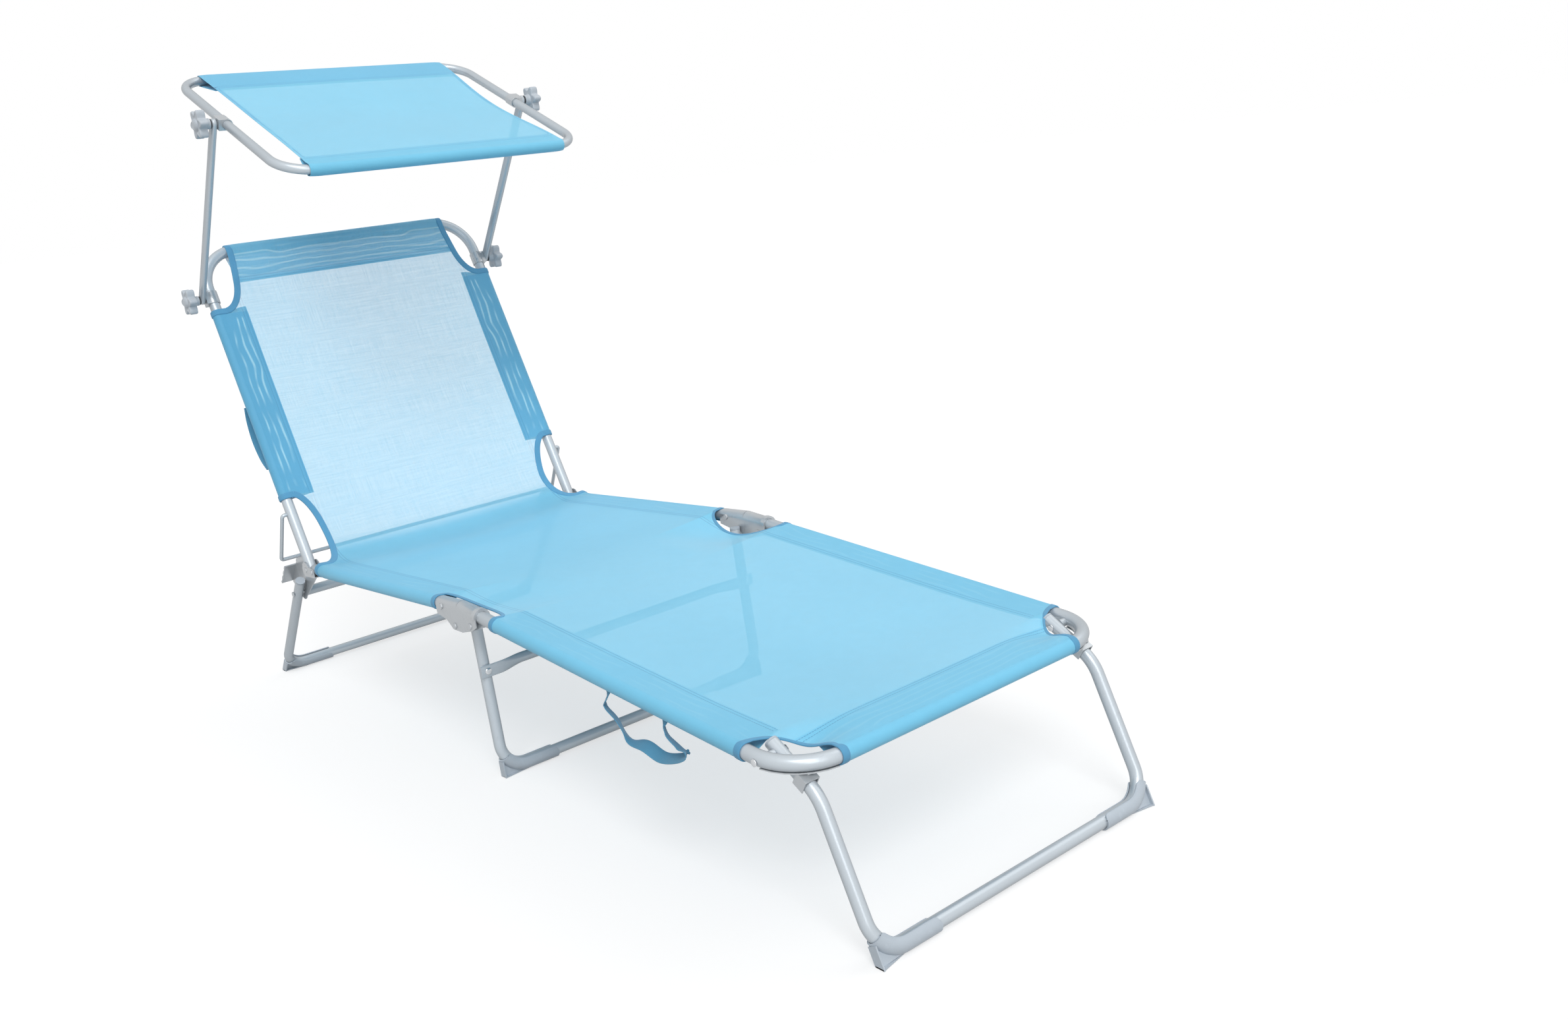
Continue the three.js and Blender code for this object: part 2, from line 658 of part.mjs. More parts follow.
// Curved plate under the front corner with a sprung catch over the leg
function frontCatch(s) {
  const under = footAxisZ(0) - RAIL_R - GAP;
  const centreX = s * (HALF_W - FOOT_CORNER_R);
  const ring = [];
  const inner = FOOT_CORNER_R - RAIL_R / 2;
  const outer = FOOT_CORNER_R + RAIL_R / 2;
  const steps = ARC_STEPS;
  for (let i = 0; i <= steps; i++) {
    const a = (CATCH_FROM_DEG + CATCH_SPAN_DEG * i / steps) * RAD;
    ring.push([centreX - s * outer * Math.cos(a) * -1, FOOT_CORNER_R + outer * Math.sin(a)]);
  }
  for (let i = steps; i >= 0; i--) {
    const a = (CATCH_FROM_DEG + CATCH_SPAN_DEG * i / steps) * RAD;
    ring.push([centreX - s * inner * Math.cos(a) * -1, FOOT_CORNER_R + inner * Math.sin(a)]);
  }
  const flip = ring.map(([x, y]) => [centreX - (x - centreX), y]);
  const plan = new THREE.ExtrudeGeometry(outline(flip), { depth: CATCH_T, bevelEnabled: false });
  const tilt = new THREE.Matrix4().makeRotationX(footSlope);
  plan.translate(0, 0, -CATCH_T);
  plan.applyMatrix4(tilt);
  plan.translate(0, 0, under);
  const plate = solid(plan);
  const legZ = frontLegZ(CATCH_Y);
  const x = s * frontLegHalf;
  const hold = LEG_R + GAP;
  const y0 = CATCH_Y - CATCH_LEN / 2;
  const y1 = CATCH_Y + CATCH_LEN / 2;
  const lean = Math.atan2(frontPivot[1] - FRONT_BEND_Z, FRONT_PIVOT_Y - FRONT_BEND_Y);
  const hood = solid(block(-hold - CATCH_T, hold + CATCH_T, -CATCH_LEN / 2, CATCH_LEN / 2,
    -CATCH_LIP, hold + CATCH_T));
  const hollow = solid(block(-hold, hold, -CATCH_LEN, CATCH_LEN, -CUT * 2, hold));
  const placed = (m) => {
    const g = fromSolid(m);
    g.applyMatrix4(new THREE.Matrix4().makeRotationX(lean).setPosition(x, CATCH_Y, legZ));
    return solid(g);
  };
  const topZ = under + y0 * Math.tan(footSlope);
  const neck = solid(block(x - PLATE, x + hold, y0 + PLATE, y1 - PLATE, legZ + hold, topZ));
  const run = legCorners.front.slice(0, 3).map((p) => vec(x, p.y, p.z));
  const leg = rod(bentPath(run, [FRONT_BEND_R]), hold);
  return minus(join(plate, placed(hood), neck), placed(hollow), leg);
}

// Height of the front leg's upper run at a given Y
function frontLegZ(y) {
  const share = (y - FRONT_BEND_Y) / (FRONT_PIVOT_Y - FRONT_BEND_Y);
  return FRONT_BEND_Z + (frontPivot[1] - FRONT_BEND_Z) * share;
}

const away = (from, to, more) => {
  const d = Math.hypot(to[0] - from[0], to[1] - from[1]);
  return [to[0] + (to[0] - from[0]) * more / d, to[1] + (to[1] - from[1]) * more / d];
};

const frontTop = away([FRONT_BEND_Y, FRONT_BEND_Z], frontPivot, FRONT_STUB);
const midTop = away([MID_FOOT_Y, GROUND_Z], midPivot, MID_STUB);
const rearTop = away([REAR_FOOT_Y, GROUND_Z], rearPivot, REAR_STUB);

const legCorners = {
  front: [
    vec(-frontLegHalf, ...frontTop), vec(-frontLegHalf, FRONT_BEND_Y, FRONT_BEND_Z),
    vec(-frontLegHalf, FRONT_FOOT_Y, GROUND_Z), vec(frontLegHalf, FRONT_FOOT_Y, GROUND_Z),
    vec(frontLegHalf, FRONT_BEND_Y, FRONT_BEND_Z), vec(frontLegHalf, ...frontTop),
  ],
  mid: [
    vec(-midLegHalf, ...midTop), vec(-midLegHalf, MID_FOOT_Y, GROUND_Z),
    vec(midLegHalf, MID_FOOT_Y, GROUND_Z), vec(midLegHalf, ...midTop),
  ],
  rear: [
    vec(-HALF_W, ...rearTop), vec(-HALF_W, REAR_FOOT_Y, GROUND_Z),
    vec(HALF_W, REAR_FOOT_Y, GROUND_Z), vec(HALF_W, ...rearTop),
  ],
};
const legRadii = {
  front: [FRONT_BEND_R, LEG_CORNER_R, LEG_CORNER_R, FRONT_BEND_R],
  mid: [LEG_CORNER_R, LEG_CORNER_R],
  rear: [LEG_CORNER_R, LEG_CORNER_R],
};
const legData = {
  front: { half: frontLegHalf, foot: FRONT_FOOT_Y, pivot: frontPivot, knee: [FRONT_BEND_Y, FRONT_BEND_Z] },
  mid: { half: midLegHalf, foot: MID_FOOT_Y, pivot: midPivot, knee: midPivot },
  rear: { half: HALF_W, foot: REAR_FOOT_Y, pivot: rearPivot, knee: rearPivot },
};

function legTube(kind) {
  const data = legData[kind];
  let body = solid(tube(bentPath(legCorners[kind], legRadii[kind]), LEG_R, LEG_WALL));
  for (const [, s] of sides) {
    const x = s * data.half;
    body = minus(body, pinX(x - LEG_R - CUT, x + LEG_R + CUT, data.pivot[0], data.pivot[1], PIN_R + PIN_GAP));
  }
  return body;
}

function legPlug(kind, s) {
  const c = legCorners[kind];
  const top = c[0].clone();
  const next = c[1].clone();
  top.x = s * legData[kind].half;
  next.x = top.x;
  const d = top.clone().sub(next).normalize();
  const start = top.clone().addScaledVector(d, GAP);
  const cap = rod(straight(start, start.clone().addScaledVector(d, PLUG_T)), LEG_R);
  const stemStart = top.clone().addScaledVector(d, -PLUG_T);
  const stem = rod(straight(stemStart, start.clone().addScaledVector(d, PLUG_T / 2)),
    LEG_R - LEG_WALL - PLATE, BORE_SIDES);
  return join(cap, stem);
}

// Plastic corner shoe: channel open along the inside of the bend and the top of the ground tube,
// with a corner web between an end wall and a flat base
function shoe(kind, s) {
  const { half, foot, knee } = legData[kind];
  const lean = Math.atan2(foot - knee[0], knee[1] - GROUND_Z);
  const at = (u, v) => vec(s * (half + u), foot - v * Math.sin(lean), GROUND_Z + v * Math.cos(lean));
  const bendFrom = SHOE_BEND_DEG * RAD;
  // the shoe's own stretch of the leg's path, off to the inside of the bend, longer by more at both ends
  const stretch = (off, more) => {
    const radius = LEG_CORNER_R - off;
    const set = radius * Math.tan(bendFrom / 2);
    const reach = set + SHOE_LIP + more;
    const turn = at(-LEG_CORNER_R + set, off);
    const start = at(-LEG_CORNER_R + set + reach * Math.cos(bendFrom), off + reach * Math.sin(bendFrom));
    return bentPath([start, turn, at(-SHOE_RUN - more, off)], [radius]);
  };
  const sleeve = rod(stretch(0, 0), shoeR);
  const opening = rod(stretch(SHOE_OPEN_UP, SHOE_LIP), SHOE_OPEN_R, BORE_SIDES);
  const above = LEG_CORNER_R + SHOE_OPEN_UP;
  const bore = rod(bentPath([at(0, above), at(0, 0), at(-SHOE_RUN - SHOE_LIP, 0)], [LEG_CORNER_R]), LEG_R + GAP);
  const leaf = (points, thick) => {
    const g = new THREE.ExtrudeGeometry(outline(points.map(([u, v]) => [s * (half + u), v])),
      { depth: thick, bevelEnabled: false });
    g.translate(0, 0, -thick / 2);
    const yAxis = vec(0, -Math.sin(lean), Math.cos(lean));
    const xAxis = vec(1, 0, 0);
    g.applyMatrix4(new THREE.Matrix4().makeBasis(xAxis, yAxis, xAxis.clone().cross(yAxis)));
    g.translate(0, foot, GROUND_Z);
    return solid(g);
  };
  const drop = (GROUND_Z + SHOE_BASE_T) / Math.cos(lean);
  const onBend = (share) => [
    LEG_CORNER_R * (Math.sin(bendFrom * share) - 1), LEG_CORNER_R * (1 - Math.cos(bendFrom * share)),
  ];
  const outer = SHOE_END_OUT;
  const web = leaf([
    [outer - SHOE_END_T / 2, SHOE_END_UP], [outer - SHOE_END_T / 2, -drop], [-LEG_CORNER_R, -drop],
    onBend(0), onBend(1 / 2), onBend(1),
  ], SHOE_WEB_T);
  const wall = leaf([
    [outer - SHOE_END_T, SHOE_END_UP], [outer, SHOE_END_UP], [outer, -drop], [outer - SHOE_END_T, -drop],
  ], SHOE_BASE_HALF * 2);
  const x0 = s * (half + outer);
  const x1 = s * (half - LEG_CORNER_R);
  const footY = foot + GROUND_Z * Math.tan(lean);
  const base = solid(block(x0, x1, footY - SHOE_BASE_HALF, footY + SHOE_BASE_HALF, 0, SHOE_BASE_T));
  const floor = solid(block(-HALF_W * 2, HALF_W * 2, foot - HALF_W, foot + HALF_W, -HALF_W, 0));
  return minus(join(sleeve, web, wall, base), bore, opening, floor);
}

// Brace between the middle legs: round tube pressed flat at both riveted ends
function midBrace() {
  const y = MID_FOOT_Y + (BRACE_Z - GROUND_Z) * (MID_PIVOT_Y - MID_FOOT_Y) / (midPivot[1] - GROUND_Z);
  const lean = (MID_PIVOT_Y - MID_FOOT_Y) / (midPivot[1] - GROUND_Z);
  const front = y - LEG_R - GAP - BRACE_TAB_T / 2 - BRACE_TAB_H * lean / 2;
  const reach = midLegHalf + BRACE_TAB_LEN / 2;
  const tabIn = midLegHalf - LEG_R - BRACE_TAB_LEN / 2;
  const stations = [
    [-reach, 0], [-tabIn, 0], [-tabIn + BRACE_NECK / 2, 1 / 2], [-tabIn + BRACE_NECK, 1],
    [tabIn - BRACE_NECK, 1], [tabIn - BRACE_NECK / 2, 1 / 2], [tabIn, 0], [reach, 0],
  ];
  const n = TUBE_SIDES;
  const rings = stations.map(([x, round]) => {
    const ring = [];
    const cy = front + (y - front) * round;
    for (let i = 0; i < n; i++) {
      const a = FULL_TURN * i / n;
      const wide = BRACE_TAB_H / 2 + (BRACE_R - BRACE_TAB_H / 2) * round;
      const thick = BRACE_TAB_T / 2 + (BRACE_R - BRACE_TAB_T / 2) * round;
      ring.push([x, cy + thick * Math.cos(a), BRACE_Z + wide * Math.sin(a)]);
    }
    return ring;
  });
  let body = solid(loft(rings));
  for (const [, s] of sides) {
    const x = s * midLegHalf;
    const from = vec(x, front, BRACE_Z);
    body = join(body, rod(straight(from, from.clone().add(vec(0, -RIVET_HEAD_T - BRACE_TAB_T / 2, 0))),
      RIVET_HEAD_R, PIN_SIDES));
  }
  return body;
}

function loft(rings) {
  const n = rings[0].length;
  const places = rings.flat(2);
  const index = [];
  for (let j = 0; j + 1 < rings.length; j++) {
    for (let i = 0; i < n; i++) {
      const k = (i + 1) % n;
      index.push(j * n + i, j * n + k, (j + 1) * n + k, j * n + i, (j + 1) * n + k, (j + 1) * n + i);
    }
  }
  const end = (rings.length - 1) * n;
  for (let i = 1; i + 1 < n; i++) {
    index.push(0, i + 1, i, end, end + i, end + i + 1);
  }
  const g = new THREE.BufferGeometry();
  g.setAttribute('position', new THREE.Float32BufferAttribute(places, 3));
  g.setIndex(index);
  return g;
}

const backCorners = () => {
  const low = backPoint(-BACK_TAIL);
  const top = backPoint(BACK_LEN);
  return [vec(-HALF_W, ...low), vec(-HALF_W, ...top), vec(HALF_W, ...top), vec(HALF_W, ...low)];
};

function backTube() {
  let body = solid(tube(bentPath(backCorners(), [BACK_CORNER_R, BACK_CORNER_R]), RAIL_R, RAIL_WALL));
  for (const [, s] of sides) {
    const x = s * HALF_W;
    body = minus(body, pinX(x - RAIL_R - CUT, x + RAIL_R + CUT, HINGE_Y, HINGE_Z, PIN_R + PIN_GAP));
    body = minus(body, pinX(x, x + s * (RAIL_R + CUT), ...standPivot, WIRE_R + PIN_GAP));
  }
  return body;
}

// Bent wire stand: hooks in the back tube, arms outside, bar through the notches
function wireStand() {
  const side = HALF_W + channelOut + RIVET_HEAD_T + WIRE_R + GAP * 2;
  const hook = HALF_W + RAIL_R / 2;
  const c = [
    vec(-hook, ...standPivot), vec(-side, ...standPivot), vec(-side, ...standBar),
    vec(side, ...standBar), vec(side, ...standPivot), vec(hook, ...standPivot),
  ];
  const bend = WIRE_R * 3 / 2;
  return rod(bentPath(c, [bend, bend, bend, bend], 3), WIRE_R, PIN_SIDES);
}

// Pipe clamp with an outer pad and a fixed bolt
function clamp(s, tubeR, halfW, y, z, angle) {
  const outer = clampOut(tubeR);
  const ringShape = new THREE.Shape(ngon(outer, TUBE_SIDES));
  ringShape.holes.push(new THREE.Path(ngon(tubeR + GAP, TUBE_SIDES)));
  const ring = new THREE.ExtrudeGeometry(ringShape, { depth: CLAMP_LEN, bevelEnabled: false });
  ring.translate(0, 0, -CLAMP_LEN / 2);
  const core = rod(straight(vec(0, 0, -CLAMP_LEN), vec(0, 0, CLAMP_LEN)), tubeR + GAP);
  const face = HALF_W + padFace - halfW;
  const pad = solid(block(0, s * face, -PAD_W / 2, PAD_W / 2, -CLAMP_LEN / 2, CLAMP_LEN / 2));
  const m = new THREE.Matrix4().makeRotationX(angle - Math.PI / 2);
  const g = fromSolid(minus(join(solid(ring), pad), core));
  g.applyMatrix4(m);
  g.translate(s * halfW, y, z);
  const tip = knobIn + KNOB_HUB_T + KNOB_T / 2;
  const bolt = pinX(s * (HALF_W + padFace - PAD_T / 2), s * tip, y, z, BOLT_R);
  return join(solid(g), bolt);
}

// Flattened tube arm with rounded ends, bored for both bolts
function canopyArm(s) {
  const [ay, az] = armPivot;
  const [cy, cz] = canopyPivot;
  const angle = Math.atan2(cz - az, cy - ay) / RAD;
  const halfW = ARM_W / 2;
  const points = [
    ...arcPoints(cy, cz, halfW, angle + QUARTER_DEG, angle - QUARTER_DEG, ARC_STEPS),
    ...arcPoints(ay, az, halfW, angle - QUARTER_DEG, angle - QUARTER_DEG * 3, ARC_STEPS),
  ];
  const bevel = ARM_T / 3;
  const g = new THREE.ExtrudeGeometry(outline(points.reverse()), {
    depth: ARM_T - bevel * 2, bevelEnabled: true, bevelThickness: bevel, bevelSize: bevel,
    bevelOffset: -bevel, bevelSegments: 2,
  });
  g.applyMatrix4(new THREE.Matrix4().makeBasis(vec(0, 1, 0), vec(0, 0, 1), vec(1, 0, 0)));
  g.translate(Math.min(s * armIn, s * armOut) + bevel, 0, 0);
  const hole = (y, z) => pinX(s * (armIn - CUT), s * (armOut + CUT), y, z, BOLT_R + PIN_GAP);
  return minus(solid(g), hole(ay, az), hole(cy, cz));
}

function washer(s, y, z) {
  const shape = new THREE.Shape(ngon(WASHER_R, TUBE_SIDES));
  shape.holes.push(new THREE.Path(ngon(BOLT_R + PIN_GAP, PIN_SIDES)));
  const a = vec(s * washerIn, y, z);
  return sweep(shape, straight(a, vec(s * (washerIn + WASHER_T), y, z)));
}

// Lobed hand knob on a hub, blind-bored for the bolt
function knob(s, y, z) {
  const points = [];
  const steps = KNOB_LOBES * LOBE_STEPS;
  for (let i = 0; i < steps; i++) {
    const a = FULL_TURN * i / steps;
    const r = KNOB_R + KNOB_LOBE * Math.cos(KNOB_LOBES * a);
    points.push([r * Math.cos(a), r * Math.sin(a)]);
  }
  const bevel = KNOB_WEB / 3;
  const star = new THREE.ExtrudeGeometry(outline(points), {
    depth: KNOB_T - bevel * 2, bevelEnabled: true, bevelThickness: bevel, bevelSize: bevel,
    bevelOffset: -bevel, bevelSegments: 1,
  });
  star.translate(0, 0, bevel + KNOB_HUB_T);
  const hub = rod(straight(vec(0, 0, 0), vec(0, 0, KNOB_HUB_T + KNOB_WEB)), KNOB_HUB_R);
  const boltTip = KNOB_HUB_T + KNOB_T / 2 + GAP;
  const bore = rod(straight(vec(0, 0, -CUT), vec(0, 0, boltTip)), BOLT_R + PIN_GAP, PIN_SIDES);
  const g = fromSolid(minus(join(solid(star), hub), bore));
  g.applyMatrix4(new THREE.Matrix4().makeRotationY(s * Math.PI / 2));
  g.translate(s * knobIn, y, z);
  return solid(g);
}

const canopyAt = (v, off = 0) => [
  canopyPivot[0] + (v - CANOPY_AHEAD) * Math.cos(canopySlope) - off * Math.sin(canopySlope),
  canopyPivot[1] + (v - CANOPY_AHEAD) * Math.sin(canopySlope) + off * Math.cos(canopySlope),
];

// Canopy frame: one tube bent to a loop, its ends meeting at the middle of the rear rail
function canopyTube() {
  const w = HALF_W;
  const half = CANOPY_JOINT_GAP / 2;
  const rear = canopyAt(CANOPY_LEN);
  const front = canopyAt(0);
  const c = [
    vec(-half, ...rear), vec(-w, ...rear), vec(-w, ...front), vec(w, ...front), vec(w, ...rear),
    vec(half, ...rear),
  ];
  const r = CANOPY_CORNER_R;
  return tube(bentPath(c, [r, r, r, r]), CANOPY_R, CANOPY_WALL);
}

function canopyDowel() {
  const rear = canopyAt(CANOPY_LEN);
  const r = (CANOPY_R - CANOPY_WALL) * Math.cos(Math.PI / BORE_SIDES) - GAP;
  return sweep(tubeShape(r, CANOPY_WALL), straight(vec(-CANOPY_DOWEL_HALF, ...rear), vec(CANOPY_DOWEL_HALF, ...rear)));
}

function sleeveX(r, half, y, z) {
  const shape = new THREE.Shape(ngon(r + SLING_GAP + CLOTH_T, TUBE_SIDES));
  return solid(sweep(shape, straight(vec(-half, y, z), vec(half, y, z))));
}

// Canopy cloth: sheet over both rails with a sewn sleeve round each
function canopyCloth() {
  const half = HALF_W - CANOPY_CLOTH_IN;
  const rise = CANOPY_R + SLING_GAP + CLOTH_T;
  const surface = (drop) => (u, v) => {
    const x = (u * 2 - 1) * half;
    const along = v * CANOPY_LEN;
    const off = rise - drop - CANOPY_SAG * Math.sin(Math.PI * v) ** 2;
    return [x, ...canopyAt(along, off)];
  };
  const sheet = sheetSolid(surface(0), surface(CLOTH_T), 6, 10);
  const front = canopyAt(0);
  const rear = canopyAt(CANOPY_LEN);
  const all = join(sheet, sleeveX(CANOPY_R, half, ...front), sleeveX(CANOPY_R, half, ...rear));
  const bore = (p) => rod(straight(vec(-half - CUT, ...p), vec(half + CUT, ...p)), CANOPY_R + SLING_GAP);
  return minus(all, bore(front), bore(rear));
}

// Plan outline pushed through the sling, in the sling's own frame
function planCut(points, height) {
  const g = new THREE.ExtrudeGeometry(outline(points), { depth: height * 2, bevelEnabled: false });
  g.translate(0, 0, -height);
  return solid(g);
}

const ease = (t) => {
  const k = Math.min(Math.max(t, 0), 1);
  return k * k * (3 - 2 * k);
};

// Sling panel in its own frame: Y along the rails, Z off them, sleeves on both sides
function slingPanel(y0, y1, sleeve0, sleeve1, sagAt, nv) {
  const rise = RAIL_R + SLING_GAP + CLOTH_T;
  const half = HALF_W;
  const surface = (drop) => (u, v) => {
    const x = (u * 2 - 1) * half;
    const y = y0 + (y1 - y0) * v;
    const off = rise - drop - sagAt(y) * (1 - (x / half) ** 2);
    return [x, y, off];
  };
  const sheet = sheetSolid(surface(0), surface(CLOTH_T), 8, nv);
  const sleeves = [];
  const bores = [];
  for (const [, s] of sides) {
    const x = s * half;
    sleeves.push(rod(straight(vec(x, sleeve0, 0), vec(x, sleeve1, 0)), rise));
    bores.push(rod(straight(vec(x, y0 - CUT, 0), vec(x, y1 + CUT, 0)), RAIL_R + SLING_GAP));
  }
  return { body: join(sheet, ...sleeves), bores };
}

// Edge cut-out: the cloth stops short of the rail between y0 and y1
function edgeCut(s, y0, y1, depth, height, open0, open1) {
  const far = HALF_W + RAIL_R * 4;
  const near = HALF_W - depth;
  const soft = Math.min(depth, (y1 - y0) / 2);
  const pts = [[s * far, y0]];
  const n = 5;
  if (open0) {
    pts.push([s * near, y0]);
  } else {
    for (let i = 0; i <= n; i++) {
      const a = Math.PI / 2 * i / n;
      pts.push([s * (HALF_W - RAIL_R - (depth - RAIL_R) * Math.sin(a)), y0 + soft * (1 - Math.cos(a))]);
    }
  }
  if (open1) {
    pts.push([s * near, y1]);
  } else {
    for (let i = n; i >= 0; i--) {
      const a = Math.PI / 2 * i / n;
      pts.push([s * (HALF_W - RAIL_R - (depth - RAIL_R) * Math.sin(a)), y1 - soft * (1 - Math.cos(a))]);
    }
  }
  pts.push([s * far, y1]);
  return planCut(s < 0 ? pts : pts.reverse(), height);
}

const footLocal = (y) => y / Math.cos(footSlope);
const seatLocal = (y) => (y - KINK_Y) / Math.cos(seatSlope);

function footSling() {
  const end = footLocal(footPivot[0]) - GAP;
  const sag = (y) => SLING_SAG * ease(y / (HALF_W - CUT_IN));
  const sleeve0 = footLocal(FOOT_SLEEVE_START);
  const sleeve1 = footLocal(FOOT_SLEEVE_END);
  const { body, bores } = slingPanel(0, end, sleeve0, sleeve1, sag, SLING_ROWS);
  const frontHalf = HALF_W - CORNER_CUT;
  const frontBore = rod(straight(vec(-HALF_W, 0, 0), vec(HALF_W, 0, 0)), RAIL_R + SLING_GAP);
  const cuts = [frontBore, ...bores];
  const tall = HALF_W;
  for (const [, s] of sides) {
    const far = HALF_W + RAIL_R * 4;
    const pts = [[s * far, -RAIL_R * 4], [s * frontHalf, -RAIL_R * 4], [s * frontHalf, RAIL_R]];
    const n = 5;
    for (let i = 1; i < n; i++) {
      const t = i / n;
      const bow = Math.sin(Math.PI * t) * CORNER_BOW;
      pts.push([s * (frontHalf + (HALF_W - RAIL_R - frontHalf) * t - bow),
        RAIL_R + (sleeve0 - RAIL_R) * t + bow]);
    }
    pts.push([s * (HALF_W - RAIL_R), sleeve0], [s * far, sleeve0]);
    cuts.push(planCut(s < 0 ? pts : pts.reverse(), tall));
    cuts.push(edgeCut(s, sleeve1, end + CUT, CUT_IN, tall, false, true));
  }
  const whole = minus(join(body, sleeveX(RAIL_R, frontHalf, 0, 0)), ...cuts);
  return onRail(whole, 0, FOOT_END_Z, footSlope);
}

// Seat sling from the foot pivot to just short of the back hinge
function seatSling() {
  const y0 = seatLocal(footPivot[0]) + GAP;
  const y1 = seatLocal(HINGE_Y - SEAT_EDGE);
  const sleeve0 = seatLocal(SEAT_SLEEVE_START);
  const sleeve1 = seatLocal(HINGE_Y - SEAT_SLEEVE_END);
  const { body, bores } = slingPanel(y0, y1, sleeve0, sleeve1, () => SLING_SAG, 4);
  const cuts = [...bores];
  for (const [, s] of sides) {
    cuts.push(edgeCut(s, y0 - CUT, sleeve0, CUT_IN, HALF_W, true, false));
    cuts.push(edgeCut(s, sleeve1, y1 + CUT, CUT_IN, HALF_W, false, true));
  }
  return onRail(minus(body, ...cuts), KINK_Y, KINK_Z, seatSlope);
}

function backSling() {
  const { body, bores } = slingPanel(BACK_EDGE, BACK_LEN, BACK_SLEEVE_START, backSleeveEnd,
    (y) => SLING_SAG * ease((BACK_LEN - y) / HALF_W), SLING_ROWS);
  const topBore = rod(straight(vec(-HALF_W, BACK_LEN, 0), vec(HALF_W, BACK_LEN, 0)), RAIL_R + SLING_GAP);
  const cuts = [topBore, ...bores];
  const frontHalf = HALF_W - TOP_CUT_IN;
  for (const [, s] of sides) {
    cuts.push(edgeCut(s, BACK_EDGE - CUT, BACK_SLEEVE_START, CUT_IN, HALF_W, true, false));
    cuts.push(edgeCut(s, backSleeveEnd, BACK_LEN + RAIL_R * 4, TOP_CUT_IN, HALF_W, false, true));
  }
  const whole = minus(join(body, sleeveX(RAIL_R, frontHalf, BACK_LEN, 0)), ...cuts);
  return onRail(whole, HINGE_Y, HINGE_Z, backAngle);
}

// Flat webbing loop hanging under the foot rail, and one behind the back rail
function webbing(points, x) {
  const curve = new THREE.CatmullRomCurve3(points.map(([y, z, out]) => vec(x - out, y, z)));
  const n = 16;
  const places = [];
  const tangents = [];
  for (let i = 0; i <= n; i++) {
    places.push(curve.getPoint(i / n));
    tangents.push(curve.getTangent(i / n));
  }
  const shape = outline([
    [-STRAP_W / 2, -STRAP_T / 2], [STRAP_W / 2, -STRAP_T / 2],
    [STRAP_W / 2, STRAP_T / 2], [-STRAP_W / 2, STRAP_T / 2],
  ]);
  return sweep(shape, new RingPath(places, tangents));
}

const sleeveOut = RAIL_R + SLING_GAP + CLOTH_T;
const hang = sleeveOut + GAP;
const tieHang = hang + GAP;

function carryStrap() {
  const top = (y) => footAxisZ(y) - hang;
  const low = (STRAP_BACK_Y + STRAP_FRONT_Y) / 2 - STRAP_SWING;
  return webbing([
    [STRAP_BACK_Y, top(STRAP_BACK_Y), 0],
    [STRAP_BACK_Y - STRAP_SWING / 3, top(STRAP_BACK_Y) - STRAP_DROP / 2, 0],
    [low + STRAP_SWING, top(low) - STRAP_DROP, 0],
    [low - STRAP_SWING / 2, top(low) - STRAP_DROP, 0],
    [low - STRAP_SWING / 3, top(low) - STRAP_DROP / 2, 0],
    [STRAP_FRONT_Y, top(STRAP_FRONT_Y), 0],
  ], -HALF_W);
}


function tieLoop() {
  const at = (along, off) => backPoint(along, -off);
  const bulge = tieHang + STRAP_OUT;
  const span = TIE_HIGH - TIE_LOW;
  const list = [[TIE_LOW, tieHang], [TIE_LOW + span / 5, bulge], [TIE_LOW + span / 2, bulge + STRAP_OUT / 2],
    [TIE_HIGH - span / 5, bulge], [TIE_HIGH, tieHang]];
  return webbing(list.map(([a, o]) => [...at(a, o), 0]), -HALF_W);
}

function addSides(name, make, look) {
  for (const [side, s] of sides) {
    put(`${name}_${side}`, make(s), look);
  }
}

addSides('seat_rail', seatRail, 'tube');
addSides('mid_hinge_bracket', midBracket, 'plate');
addSides('ratchet_bracket', ratchetBracket, 'plate');
put('rear_cross_tube', crossTube(), 'tube');
put('foot_frame_tube', footTube(), 'tube');
addSides('front_leg_catch', frontCatch, 'plate');
put('front_leg_tube', legTube('front'), 'tube');
addSides('front_shoe', (s) => shoe('front', s), 'shoe');
addSides('front_leg_plug', (s) => legPlug('front', s), 'shoe');
put('mid_leg_tube', legTube('mid'), 'tube');
put('mid_leg_brace', midBrace(), 'tube');
addSides('mid_shoe', (s) => shoe('mid', s), 'shoe');
addSides('mid_leg_plug', (s) => legPlug('mid', s), 'shoe');
put('rear_leg_tube', legTube('rear'), 'tube');
addSides('rear_shoe', (s) => shoe('rear', s), 'shoe');
addSides('rear_leg_plug', (s) => legPlug('rear', s), 'shoe');
put('back_frame_tube', backTube(), 'tube');
put('wire_stand', wireStand(), 'tube');
addSides('arm_clamp', (s) => clamp(s, RAIL_R, HALF_W, ...armPivot, backAngle), 'plate');
addSides('canopy_arm', canopyArm, 'tube');
addSides('arm_washer', (s) => washer(s, ...armPivot), 'black');
addSides('arm_knob', (s) => knob(s, ...armPivot), 'knob');
put('canopy_frame_tube', canopyTube(), 'tube');
put('canopy_joint_dowel', canopyDowel(), 'tube');
addSides('canopy_clip', (s) => clamp(s, CANOPY_R, HALF_W, ...canopyPivot, canopySlope), 'plate');
addSides('canopy_washer', (s) => washer(s, ...canopyPivot), 'black');
addSides('canopy_knob', (s) => knob(s, ...canopyPivot), 'knob');
put('canopy_cloth', canopyCloth(), 'sling');
put('foot_sling', footSling(), 'sling');
put('seat_sling', seatSling(), 'sling');
put('back_sling', backSling(), 'back');
put('carry_strap', carryStrap(), 'webbing');
put('tie_loop', tieLoop(), 'webbing');

